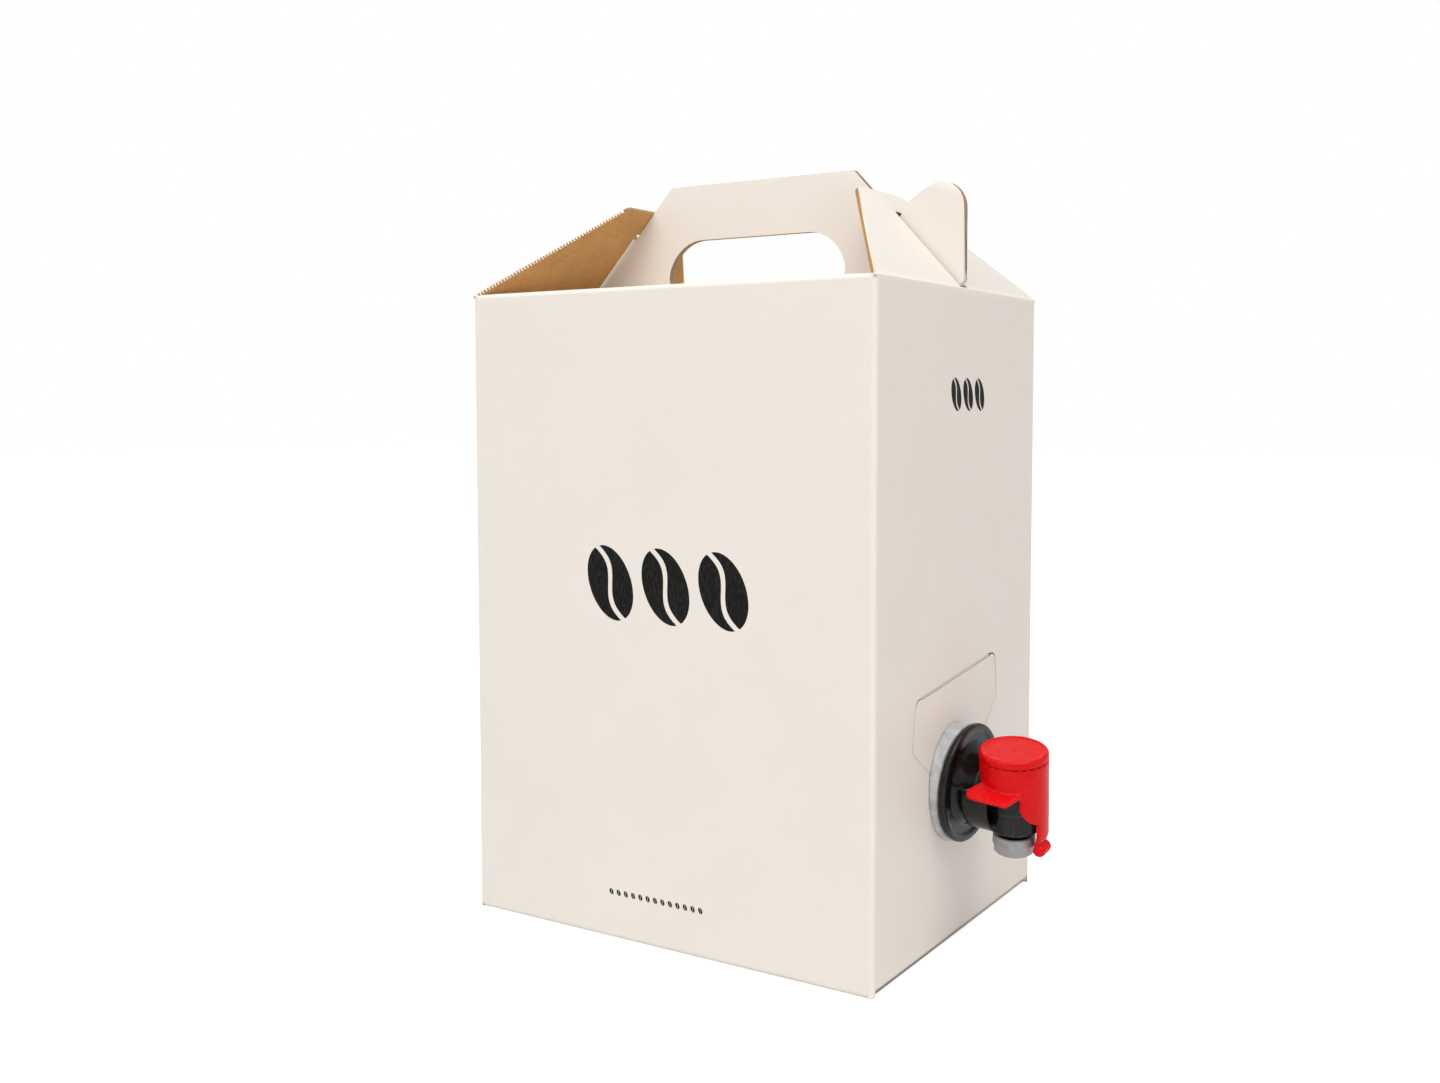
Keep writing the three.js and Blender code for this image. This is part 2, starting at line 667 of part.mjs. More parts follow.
// The neck with its weld flange, and the outer flange, which is trimmed flat to the panel.
function gland(tapPlace) {
  const weldBack = WELD_FLANGE_FACE - GLAND_FLANGE;
  const middle = (GLAND_NECK_RADIUS + GLAND_BORE_RADIUS) / 2;
  const neck = turned(
    [
      [GLAND_BORE_RADIUS, -GLAND_LENGTH],
      [GLAND_NECK_RADIUS - 1, -GLAND_LENGTH],
      [GLAND_NECK_RADIUS, -GLAND_LENGTH + 1],
      [GLAND_NECK_RADIUS, weldBack],
      [WELD_FLANGE_RADIUS, weldBack + 1],
      [WELD_FLANGE_RADIUS, WELD_FLANGE_FACE],
      [GLAND_NECK_RADIUS, WELD_FLANGE_FACE],
      [GLAND_NECK_RADIUS, GLAND_OUTER_FACE],
      [GLAND_BORE_RADIUS, GLAND_OUTER_FACE],
    ],
    LATHE_TO_X,
  );
  const flange = turned(
    [
      [middle, -GLAND_STANDOFF],
      [GLAND_FLANGE_RADIUS, -GLAND_STANDOFF],
      [GLAND_FLANGE_RADIUS, GLAND_OUTER_FACE - GLAND_FLANGE_EDGE],
      [GLAND_FLANGE_RADIUS - GLAND_FLANGE_EDGE, GLAND_OUTER_FACE],
      [middle, GLAND_OUTER_FACE],
    ],
    LATHE_TO_X,
  );
  const panel = block([0, -DEPTH, 0], [HALF_WIDTH + EASE, DEPTH, HEIGHT]);
  const panelInTap = panel.transform(tapPlace.clone().invert().toArray());
  return join(neck, cut(flange, panelInTap));
}

// The spigot, the dished disc, the hub and the barrel, turned about X.
function barrel() {
  const snap = SPIGOT_RADIUS + SPIGOT_SNAP;
  return turned(
    [
      [0, SPIGOT_END],
      [SPIGOT_RADIUS - 0.6, SPIGOT_END],
      [snap, SPIGOT_END + SPIGOT_SNAP_LENGTH - 0.4],
      [snap, SPIGOT_END + SPIGOT_SNAP_LENGTH],
      [SPIGOT_RADIUS, SPIGOT_END + SPIGOT_SNAP_LENGTH],
      [SPIGOT_RADIUS, DISC_BACK],
      [DISC_RADIUS - DISC_EDGE, DISC_BACK],
      [DISC_RADIUS, DISC_BACK + DISC_EDGE],
      [DISC_RADIUS, DISC_FACE - DISC_EDGE],
      [DISC_RADIUS - DISC_EDGE, DISC_FACE],
      [DISC_RADIUS - DISC_RIM, DISC_FACE],
      [DISC_RADIUS - DISC_RIM - DISC_RIM_SLOPE, DISC_FACE - DISC_DISH],
      [HUB_RADIUS + HUB_FOOT, DISC_FACE - DISC_DISH],
      [HUB_RADIUS, DISC_FACE],
      [BARREL_RADIUS + HUB_NECK, DISC_FACE + HUB_SHOULDER],
      [BARREL_RADIUS, DISC_FACE + HUB_LENGTH],
      [BARREL_RADIUS, VALVE_REACH],
      [0, VALVE_REACH],
    ],
    LATHE_TO_X,
  );
}

// The upright valve body: cap land, band, taper and nozzle, turned about Z.
function valveBody() {
  const step = VALVE_RADIUS + VALVE_BAND;
  return turned(
    [
      [0, NOZZLE_END],
      [NOZZLE_RADIUS, NOZZLE_END],
      [NOZZLE_RADIUS, NOZZLE_END + NOZZLE_LENGTH],
      [COLLAR_RADIUS, NOZZLE_END + NOZZLE_LENGTH],
      [VALVE_RADIUS, VALVE_LOWER_END],
      [VALVE_RADIUS, VALVE_BAND_LOWER],
      [step, VALVE_BAND_LOWER + 0.5],
      [step, WING_BOTTOM],
      [VALVE_RADIUS, WING_BOTTOM],
      [VALVE_RADIUS, VALVE_TOP - 0.5],
      [VALVE_RADIUS - 0.5, VALVE_TOP],
      [0, VALVE_TOP],
    ],
    shifted(VALVE_REACH, 0, 0).multiply(LATHE_TO_Z),
  );
}

// The wing plate with a curved finger rest at each side.
function fingerRests() {
  const outer = GRIP_RADIUS;
  const inner = GRIP_RADIUS - GRIP_WALL;
  const top = Math.asin(GRIP_TOP / outer);
  const low = THREE.MathUtils.degToRad(-GRIP_LOW_ANGLE);
  const rest = new THREE.Shape();
  rest.absarc(0, 0, outer, low, top, false);
  rest.absarc(0, 0, inner, Math.asin(GRIP_TOP / inner), low, true);
  rest.closePath();
  const right = plateYZ(rest, GRIP_REAR, GRIP_FRONT);
  const left = right.mirror([0, 1, 0]);
  const half = Math.sqrt(outer ** 2 - GRIP_TOP ** 2);
  const plateOutline = roundedPolygon([
    [GRIP_REAR, -half, 0.5],
    [GRIP_FRONT + GRIP_PLATE_FRONT, -half, GRIP_PLATE_CORNER],
    [GRIP_FRONT + GRIP_PLATE_FRONT, half, GRIP_PLATE_CORNER],
    [GRIP_REAR, half, 0.5],
  ]);
  const plate = plateXY(plateOutline, GRIP_TOP - GRIP_PLATE, GRIP_TOP);
  return join(right, left, plate);
}

function tapBody() {
  const body = join(barrel(), valveBody(), fingerRests());
  const channel = turned(
    [
      [0, SPIGOT_END - 1],
      [SPIGOT_RADIUS - SPIGOT_WALL, SPIGOT_END - 1],
      [SPIGOT_RADIUS - SPIGOT_WALL, DISC_BACK],
      [CHANNEL_RADIUS, DISC_FACE],
      [CHANNEL_RADIUS, VALVE_REACH],
      [0, VALVE_REACH],
    ],
    LATHE_TO_X,
  );
  const bore = turned(
    [
      [0, NOZZLE_END - 1],
      [NOZZLE_BORE_RADIUS, NOZZLE_END - 1],
      [NOZZLE_BORE_RADIUS, SEAT_BOTTOM],
      [SEAT_RADIUS, SEAT_BOTTOM],
      [SEAT_RADIUS, SEAT_TOP],
      [VALVE_BORE_RADIUS, SEAT_TOP + 2],
      [VALVE_BORE_RADIUS, VALVE_TOP + 1],
      [0, VALVE_TOP + 1],
    ],
    shifted(VALVE_REACH, 0, 0).multiply(LATHE_TO_Z),
  );
  return cut(body, channel, bore);
}

// The hood's wall below the tear line, drawn unrolled: half angle in degrees against height.
// At the back and sides it stops at the wings, and in front it runs down as a tongue.
function hoodWallCutter() {
  const reach = HOOD_RADIUS + 4;
  const sine = (degrees) => HOOD_RADIUS * Math.sin(THREE.MathUtils.degToRad(degrees));
  const corner = sine(TONGUE_HALF_ANGLE);
  const shoulder = corner - STRIP_HALF_WIDTH;
  // The tongue as seen from the front, in (y, z): straight sides, then a quarter ellipse in to
  // the pull strip.
  const points = [];
  for (let k = 0; k <= ARC_STEPS; k++) {
    const angle = (Math.PI / 2) * (k / ARC_STEPS);
    points.push([
      STRIP_HALF_WIDTH + shoulder * Math.cos(angle),
      TONGUE_LOW + TONGUE_ROUND * (1 - Math.sin(angle)),
    ]);
  }
  const side = [[corner, WING_TOP], ...points, [STRIP_HALF_WIDTH, STRIP_LOW]];
  const mirrored = side.map(([y, z]) => [-y, z]).reverse();
  const tongue = plateYZ(polygon([...side, ...mirrored]), VALVE_REACH, VALVE_REACH + reach);
  const below = block(
    [VALVE_REACH - reach, -reach, STRIP_LOW - HOOD_TOP],
    [VALVE_REACH + reach, reach, WING_BOTTOM],
  );
  return cut(below, tongue);
}

function wing() {
  const rear = VALVE_REACH - WING_REAR;
  const front = VALVE_REACH + WING_FRONT;
  const right = [
    [front, WING_REACH - WING_NOSE_ACROSS, 1],
    [front - WING_NOSE_ALONG, WING_REACH, 1],
    [VALVE_REACH - WING_SHOULDER, WING_REACH, WING_SHOULDER_RADIUS],
    [rear, WING_REACH - WING_REAR_TAPER, WING_CORNER],
  ];
  const left = right.map(([x, y, radius]) => [x, -y, radius]).reverse();
  return roundedPolygon([...right, ...left]);
}

function tamperHood() {
  const place = shifted(VALVE_REACH, 0, 0).multiply(LATHE_TO_Z);
  const inner = HOOD_RADIUS - HOOD_WALL;
  const tear = HOOD_TOP - HOOD_BAND;
  const roof = HOOD_TOP - HOOD_DISH;
  const profile = [[inner, STRIP_LOW], [HOOD_RADIUS, STRIP_LOW]];
  profile.push([HOOD_RADIUS, tear - TEAR_WIDTH]);
  profile.push([HOOD_RADIUS - TEAR_DEPTH, tear - TEAR_WIDTH / 2]);
  profile.push([HOOD_RADIUS, tear]);
  for (let k = 0; k <= BEND_STEPS; k++) {
    const angle = (Math.PI / 2) * (k / BEND_STEPS);
    profile.push([
      HOOD_RADIUS - HOOD_EDGE_RADIUS * (1 - Math.cos(angle)),
      HOOD_TOP - HOOD_EDGE_RADIUS * (1 - Math.sin(angle)),
    ]);
  }
  profile.push([inner - 0.8, roof], [0, roof]);
  profile.push([0, roof - HOOD_WALL], [inner, roof - HOOD_WALL]);
  const shell = cut(turned(profile, place), hoodWallCutter());
  const bore = turned(
    [
      [0, STRIP_LOW],
      [inner, STRIP_LOW],
      [inner, roof - HOOD_WALL],
      [0, roof - HOOD_WALL],
    ],
    place,
  );
  const saddle = turned(
    [
      [0, DISC_BACK],
      [BARREL_RADIUS + SADDLE_ROOM, DISC_BACK],
      [BARREL_RADIUS + SADDLE_ROOM, VALVE_REACH - STRIP_HALF_WIDTH],
      [0, VALVE_REACH - STRIP_HALF_WIDTH],
    ],
    LATHE_TO_X,
  );
  const wings = cut(plateXY(wing(), WING_BOTTOM, WING_TOP), bore);
  const bar = BEAD_LENGTH - 2 * BEAD_RADIUS;
  const bead = solidOf(
    new THREE.CapsuleGeometry(BEAD_RADIUS, bar, 6, 20),
    shifted(VALVE_REACH + HOOD_RADIUS - HOOD_WALL / 2, 0, STRIP_LOW - BEAD_RADIUS * 0.6),
  );
  return join(cut(join(shell, wings), saddle), bead);
}

function outletCollar() {
  const bore = NOZZLE_RADIUS + EASE;
  const skirt = COLLAR_RADIUS - COLLAR_TAPER;
  const bandLow = COLLAR_END + COLLAR_SKIRT;
  return turned(
    [
      [bore - COLLAR_STOP, COLLAR_END],
      [skirt - COLLAR_EDGE, COLLAR_END],
      [skirt, COLLAR_END + COLLAR_EDGE],
      [skirt, bandLow],
      [COLLAR_RADIUS + COLLAR_LIP, bandLow + COLLAR_BAND_SLOPE],
      [COLLAR_RADIUS + COLLAR_LIP, bandLow + COLLAR_BAND_SLOPE + COLLAR_BAND],
      [COLLAR_RADIUS, bandLow + 2 * COLLAR_BAND_SLOPE + COLLAR_BAND],
      [COLLAR_RADIUS, COLLAR_TOP - COLLAR_EDGE],
      [COLLAR_RADIUS - COLLAR_EDGE, COLLAR_TOP],
      [bore + COLLAR_EDGE / 2, COLLAR_TOP],
      [bore, COLLAR_TOP - COLLAR_EDGE],
      [bore, NOZZLE_END - EASE],
      [bore - COLLAR_STOP, NOZZLE_END - EASE - COLLAR_STOP],
    ],
    shifted(VALVE_REACH, 0, 0).multiply(LATHE_TO_Z),
  );
}

// The moving valve: a domed button, a stem and the seal under its seat

function pressButton() {
  const radius = VALVE_BORE_RADIUS - EASE;
  const profile = [[STEM_RADIUS + EASE, BUTTON_LOW], [radius - 0.5, BUTTON_LOW]];
  profile.push([radius, BUTTON_LOW + 0.5], [radius, BUTTON_TOP - BUTTON_DOME]);
  for (let k = 1; k <= BEND_STEPS; k++) {
    const angle = (Math.PI / 2) * (k / BEND_STEPS);
    profile.push([radius * Math.cos(angle), BUTTON_TOP - BUTTON_DOME * (1 - Math.sin(angle))]);
  }
  profile.push([0, BUTTON_TOP - BUTTON_ROOF], [STEM_RADIUS + EASE, BUTTON_TOP - BUTTON_ROOF]);
  return turned(profile, shifted(VALVE_REACH, 0, 0).multiply(LATHE_TO_Z), INNER_ROUND);
}

function valveStem() {
  const foot = SEAL_TOP - SEAL_THICKNESS / 2;
  const collar = BUTTON_LOW - EASE;
  return turned(
    [
      [0, foot],
      [STEM_RADIUS, foot],
      [STEM_RADIUS, collar - STEM_COLLAR_THICKNESS - STEM_COLLAR_SLOPE],
      [STEM_RADIUS + STEM_COLLAR, collar - STEM_COLLAR_THICKNESS],
      [STEM_RADIUS + STEM_COLLAR, collar],
      [STEM_RADIUS, collar],
      [STEM_RADIUS, BUTTON_TOP - BUTTON_ROOF - EASE],
      [0, BUTTON_TOP - BUTTON_ROOF - EASE],
    ],
    shifted(VALVE_REACH, 0, 0).multiply(LATHE_TO_Z),
    INNER_ROUND,
  );
}

function valveSeal() {
  const low = SEAL_TOP - SEAL_THICKNESS;
  const socket = STEM_RADIUS + EASE;
  const floor = SEAL_TOP - SEAL_THICKNESS / 2 - EASE;
  return turned(
    [
      [0, low],
      [SEAL_RADIUS - 0.6, low],
      [SEAL_RADIUS, low + 0.6],
      [SEAL_RADIUS, SEAL_TOP],
      [socket, SEAL_TOP],
      [socket, floor],
      [0, floor],
    ],
    shifted(VALVE_REACH, 0, 0).multiply(LATHE_TO_Z),
    INNER_ROUND,
  );
}

// Finishes

const finish = (color, roughness, extra = {}) =>
  new THREE.MeshStandardMaterial({ color, roughness, metalness: 0, ...extra });
const coatedBoard = finish(0xe6dfd6, 0.75);
const naturalPlastic = finish(0xd4d6d8, 0.35, { transparent: true, opacity: 0.75 });
const blackPlastic = finish(0x1b1b1b, 0.35);
const redPlastic = finish(0xd3161c, 0.3);
const bagFilm = finish(0xb9bcc0, 0.4, { metalness: 0.6 });
const softSeal = finish(0x6d6d6a, 0.6);

// Scene graph

function piece(name, solid, material) {
  const mesh = new THREE.Mesh(geometryOf(solid), material);
  mesh.name = name;
  return mesh;
}

// Puts a side flap on its fold. The flat drawing points inwards and slopes up.
function flapPiece(name, sign) {
  const flap = piece(name, sideFlap(), coatedBoard);
  flap.rotation.order = "ZYX";
  flap.rotation.set(0, -SLOPE, sign > 0 ? Math.PI : 0);
  flap.position.set(sign * FOLD_LINE_X, 0, FOLD_LINE_Z);
  return flap;
}

const root = new THREE.Group();

const tap = new THREE.Group();
tap.position.set(HALF_WIDTH, TAP_Y, TAP_Z);
tap.rotation.order = "ZYX";
tap.rotation.set(
  THREE.MathUtils.degToRad(TAP_SWIVEL),
  THREE.MathUtils.degToRad(TAP_DROOP),
  THREE.MathUtils.degToRad(TAP_YAW),
);
tap.updateMatrix();

root.add(piece("carton_body", cartonBody(tap.matrix), coatedBoard));
root.add(flapPiece("side_flap_left", -1));
root.add(flapPiece("side_flap_right", 1));
root.add(piece("bag", bag(tap.matrix), bagFilm));

tap.add(piece("gland", gland(tap.matrix), naturalPlastic));
tap.add(piece("tap_body", tapBody(), blackPlastic));
tap.add(piece("tamper_hood", tamperHood(), redPlastic));
tap.add(piece("outlet_collar", outletCollar(), naturalPlastic));
tap.add(piece("press_button", pressButton(), softSeal));
tap.add(piece("valve_stem", valveStem(), naturalPlastic));
tap.add(piece("valve_seal", valveSeal(), softSeal));
root.add(tap);

export default root;
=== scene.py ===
"""The looks of the coffee carton: coated board, prints, filled bag, press tap, light and camera.

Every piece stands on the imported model, in metres. Sizes in the classes are in millimetres.
"""

import json
import logging
import math
from collections.abc import Iterable
from dataclasses import dataclass, field
from enum import Enum
from functools import cache

import bmesh
import bpy
from mathutils import Matrix, Vector
from mathutils.bvhtree import BVHTree


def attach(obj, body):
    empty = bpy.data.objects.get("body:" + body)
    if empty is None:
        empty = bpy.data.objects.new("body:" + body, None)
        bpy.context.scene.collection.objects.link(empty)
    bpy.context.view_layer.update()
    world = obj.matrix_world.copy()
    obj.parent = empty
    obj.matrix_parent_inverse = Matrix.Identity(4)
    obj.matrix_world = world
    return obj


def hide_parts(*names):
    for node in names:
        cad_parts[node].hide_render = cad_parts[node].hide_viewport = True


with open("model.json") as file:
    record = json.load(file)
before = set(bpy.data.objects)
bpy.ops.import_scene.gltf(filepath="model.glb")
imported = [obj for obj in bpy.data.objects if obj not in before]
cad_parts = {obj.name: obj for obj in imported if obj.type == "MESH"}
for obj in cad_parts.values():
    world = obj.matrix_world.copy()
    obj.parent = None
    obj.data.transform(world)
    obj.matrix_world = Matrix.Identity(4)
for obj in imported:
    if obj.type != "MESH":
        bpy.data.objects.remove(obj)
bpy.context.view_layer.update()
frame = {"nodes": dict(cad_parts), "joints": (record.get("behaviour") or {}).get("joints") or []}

log = logging.getLogger("coffee_carton")
logging.basicConfig(level=logging.INFO, format="%(message)s")

MM = 0.001
HALF_WIDTH, HALF_DEPTH, HEIGHT = 90.0, 75.0, 250.0
MERGE_REACH = 0.002
CLOUD_BAND = (0.35, 0.65)
FIBRE_BAND = (0.42, 0.62)
FIBRE_STRETCH = (1.0, 1.0, 0.28)
FOLD_CORE = 0.4
HAZE_BAND = (0.4, 0.7)
GRAIN_SHARE = 0.35

Colour = tuple[float, float, float]
Pair = tuple[float, float]
Triple = tuple[float, float, float]
Tree = bpy.types.NodeTree
Node = bpy.types.Node
Socket = bpy.types.NodeSocket
Material = bpy.types.Material
Mesh = bpy.types.Mesh
Piece = bpy.types.Object
Shape = bmesh.types.BMesh


class BoardFace(Enum):
    """Which face of the corrugated board a triangle belongs to. The value is its slot."""

    COATED = 0
    LINER = 1
    CUT = 2
    DOOR_CUT = 3


class FlapSide(Enum):
    """The two narrow sides, with the sign of X on which each lies."""

    LEFT = -1
    RIGHT = 1


def limited(value: float) -> float:
    """Keeps a share from 0 to 1."""
    return min(max(value, 0.0), 1.0)


def matrix_of(columns: Iterable[Vector]) -> Matrix:
    """Makes a matrix from its axes.

    Args:
        columns: the three axes, and the place as a fourth where there is one.

    Returns:
        The matrix.
    """
    matrix = Matrix.Identity(4)
    for column, axis in enumerate(columns):
        for row in range(3):
            matrix[row][column] = axis[row]
    return matrix


# Building node trees


def add_node(tree: Tree, kind: str, inputs: dict | None = None, **settings: object) -> Node:
    """Adds a node and sets or links its inputs.

    Args:
        tree: the shader or geometry tree.
        kind: the node's type name.
        inputs: a value or an output socket for each input, by name or number.
        settings: the node's own properties.

    Returns:
        The new node.
    """
    node = tree.nodes.new(kind)
    for key, value in settings.items():
        setattr(node, key, value)
    for key, value in (inputs or {}).items():
        if isinstance(value, Socket):
            tree.links.new(value, node.inputs[key])
        else:
            node.inputs[key].default_value = value
    return node


def calc(tree: Tree, operation: str, *values: float | Socket) -> Socket:
    """Adds one Math node, with its inputs in order, and gives its socket."""
    return add_node(tree, "ShaderNodeMath", dict(enumerate(values)), operation=operation).outputs[0]


def smooth_range(tree: Tree, value: Socket, low: float | Socket, high: float) -> Socket:
    """Adds a smooth step.

    Args:
        tree: the tree.
        value: what is tested.
        low: where the step starts from 0.
        high: where it reaches 1.

    Returns:
        The step's socket.
    """
    inputs = {"Value": value, "From Min": low, "From Max": high}
    node = add_node(tree, "ShaderNodeMapRange", inputs, interpolation_type="SMOOTHSTEP")
    return node.outputs["Result"]


def mixed(tree: Tree, share: Socket, first: Colour | Socket, second: Colour) -> Socket:
    """Mixes two colours.

    Args:
        tree: the tree.
        share: how much of the second colour shows.
        first: the first colour.
        second: the second colour.

    Returns:
        The mixed colour's socket.
    """
    node = add_node(tree, "ShaderNodeMix", data_type="RGBA")
    for name, value in (("Factor", share), ("A", first), ("B", second)):
        socket = next(s for s in node.inputs if s.name == name and s.enabled)
        if isinstance(value, Socket):
            tree.links.new(value, socket)
        else:
            socket.default_value = (*value, 1.0)
    return next(s for s in node.outputs if s.enabled)


def noise(tree: Tree, place: Socket, size: Socket, **more: float) -> Socket:
    """Adds a noise texture with spots of one size and gives its socket."""
    inputs = {"Vector": place, "Scale": calc(tree, "DIVIDE", 1.0, size), **more}
    return add_node(tree, "ShaderNodeTexNoise", inputs).outputs[0]


def in_millimetres(tree: Tree, place: Socket) -> Socket:
    """Turns a place in metres into millimetres."""
    inputs = {0: place, 1: (1 / MM,) * 3}
    return add_node(tree, "ShaderNodeVectorMath", inputs, operation="MULTIPLY").outputs[0]


def new_tree(name: str, kind: str, inputs: dict, outputs: dict) -> tuple[Tree, Node, Node]:
    """Starts a node group.

    Args:
        name: the group's name.
        kind: Shader or Geometry.
        inputs: each input's sort of socket, or its first value where it is a number.
        outputs: each output's sort of socket.

    Returns:
        The group's tree, its input node and its output node.
    """
    tree = bpy.data.node_groups.new(name, f"{kind}NodeTree")
    for way, sockets in (("INPUT", inputs), ("OUTPUT", outputs)):
        for key, value in sockets.items():
            number = isinstance(value, float)
            sort = f"NodeSocket{'Float' if number else value}"
            socket = tree.interface.new_socket(key, in_out=way, socket_type=sort)
            if number:
                socket.default_value = value
    return tree, tree.nodes.new("NodeGroupInput"), tree.nodes.new("NodeGroupOutput")


def close_tree(tree: Tree, result: Node, outputs: dict[str, Socket]) -> Tree:
    """Links a group's outputs.

    Args:
        tree: the group's tree.
        result: its output node.
        outputs: what each output gives.

    Returns:
        The tree.
    """
    for key, socket in outputs.items():
        tree.links.new(socket, result.inputs[key])
    return tree


@cache
def paper_fibres() -> Tree:
    """Builds the group for paper: soft clouds and short upright fibres.

    Returns:
        The group, with Clouds and Fibres from 0 to 1 and a Height.
    """
    tree, given, result = new_tree(
        "paper_fibres",
        "Shader",
        {"Vector": "Vector", "Cloud Size": 28.0, "Fibre Size": 0.7},
        {"Clouds": "Float", "Fibres": "Float", "Height": "Float"},
    )
    place = in_millimetres(tree, given.outputs["Vector"])
    clouds = noise(tree, place, given.outputs["Cloud Size"], Detail=5.0, Roughness=0.6)
    stretched = add_node(tree, "ShaderNodeMapping", {"Vector": place, "Scale": FIBRE_STRETCH})
    size = given.outputs["Fibre Size"]
    fibres = noise(tree, stretched.outputs[0], size, Detail=3.0, Distortion=0.6)
    outputs = {
        "Clouds": smooth_range(tree, clouds, *CLOUD_BAND),
        "Fibres": smooth_range(tree, fibres, *FIBRE_BAND),
        "Height": fibres,
    }
    return close_tree(tree, result, outputs)


@cache
def carton_folds() -> Tree:
    """Builds the group that finds the carton's folds from the place of a point, where the coat gets
    its painted highlight.

    Returns:
        The group, with a Fold mask that is 1 on the rounded folds.
    """
    sizes = {"Half Width": HALF_WIDTH, "Half Depth": HALF_DEPTH, "Height": HEIGHT, "Band": 2.4}
    tree, given, result = new_tree(
        "carton_folds", "Shader", {"Vector": "Vector", **sizes}, {"Fold": "Float"}
    )
    place = in_millimetres(tree, given.outputs["Vector"])
    split = add_node(tree, "ShaderNodeSeparateXYZ", {0: place})
    near = []
    for axis, size in zip("XYZ", ("Half Width", "Half Depth", "Height")):
        place = split.outputs[axis]
        if axis != "Z":
            place = calc(tree, "ABSOLUTE", place)
        away = calc(tree, "SUBTRACT", given.outputs[size], place)
        if axis == "Z":
            away = calc(tree, "ABSOLUTE", away)
        near.append(smooth_range(tree, away, given.outputs["Band"], FOLD_CORE))
    upright = calc(tree, "MULTIPLY", near[0], near[1])
    top = calc(tree, "MULTIPLY", near[2], calc(tree, "MAXIMUM", near[0], near[1]))
    return close_tree(tree, result, {"Fold": calc(tree, "MAXIMUM", upright, top)})


@cache
def moulded_skin() -> Tree:
    """Builds the group for moulded plastic: fine grain, faint flow marks and handling haze.

    Returns:
        The group, with Haze from 0 to 1 and a Height.
    """
    tree, given, result = new_tree(
        "moulded_skin",
        "Shader",
        {"Vector": "Vector", "Grain Size": 0.12, "Flow Size": 6.0},
        {"Haze": "Float", "Height": "Float"},
    )
    place = in_millimetres(tree, given.outputs["Vector"])
    grain = noise(tree, place, given.outputs["Grain Size"])
    flow = noise(tree, place, given.outputs["Flow Size"], Detail=4.0, Distortion=1.2)
    height = calc(tree, "ADD", calc(tree, "MULTIPLY", grain, GRAIN_SHARE), flow)
    return close_tree(
        tree, result, {"Haze": smooth_range(tree, flow, *HAZE_BAND), "Height": height}
    )


def new_material(name: str) -> tuple[Material, Tree, Socket]:
    """Starts a material with an empty tree.

    Args:
        name: the material's name.

    Returns:
        The material, its tree and the Object coordinates' socket.
    """
    material = bpy.data.materials.new(name)
    material.use_nodes = True
    tree = material.node_tree
    tree.nodes.clear()
    return material, tree, add_node(tree, "ShaderNodeTexCoord").outputs["Object"]


# Finishes


class Finish:
    """A finish of the object. Each kind has its name, its bump and its own paint."""

    name: str
    bump: Pair

    def paint(self, tree: Tree, place: Socket) -> tuple[dict, Socket]:
        """Adds the nodes of this kind of finish.

        Args:
            tree: the material's tree.
            place: the Object coordinates.

        Returns:
            The surface's inputs, and the height for its bump.
        """
        raise NotImplementedError

    def material(self) -> Material:
        """Builds the material.

        Returns:
            The finish's material.
        """
        material, tree, place = new_material(self.name)
        inputs, height = self.paint(tree, place)
        strength, distance = self.bump
        bumps = {"Height": height, "Strength": strength, "Distance": distance * MM}
        inputs["Normal"] = add_node(tree, "ShaderNodeBump", bumps).outputs[0]
        shader = add_node(tree, "ShaderNodeBsdfPrincipled", inputs)
        add_node(tree, "ShaderNodeOutputMaterial", {"Surface": shader.outputs[0]})
        return material


@dataclass(frozen=True)
class CoatedFinish(Finish):
    """The cream, matt coated face of the board, with a painted highlight along its folds."""

    name: str = "coated_face"
    colour: Colour = (0.82, 0.759, 0.694)
    # painted highlight: the lighter colour laid on the folds
    cloud_colour: Colour = (0.80, 0.739, 0.672)
    fold_highlight_colour: Colour = (0.87, 0.815, 0.75)
    cloud_size: float = 42.0
    cloud_share: float = 0.6
    fold_highlight_share: float = 0.75
    roughness: float = 0.5
    cloud_roughness: float = 0.06
    bump: Pair = (0.10, 0.06)

    def paint(self, tree: Tree, place: Socket) -> tuple[dict, Socket]:
        """Adds the clouds of the coat and the painted highlight on its folds.

        Args:
            tree: the material's tree.
            place: the Object coordinates.

        Returns:
            The surface's inputs, and the height for its bump.
        """
        inputs = {"Vector": place, "Cloud Size": self.cloud_size}
        paper = add_node(tree, "ShaderNodeGroup", inputs, node_tree=paper_fibres())
        folds = add_node(tree, "ShaderNodeGroup", {"Vector": place}, node_tree=carton_folds())
        clouds = paper.outputs["Clouds"]
        share = calc(tree, "MULTIPLY", clouds, self.cloud_share)
        colour = mixed(tree, share, self.colour, self.cloud_colour)
        # painted highlight: the folds are lightened where they would catch the light
        share = calc(tree, "MULTIPLY", folds.outputs["Fold"], self.fold_highlight_share)
        colour = mixed(tree, share, colour, self.fold_highlight_colour)
        rough = calc(tree, "MULTIPLY_ADD", clouds, self.cloud_roughness, self.roughness)
        return {"Base Color": colour, "Roughness": rough}, paper.outputs["Height"]


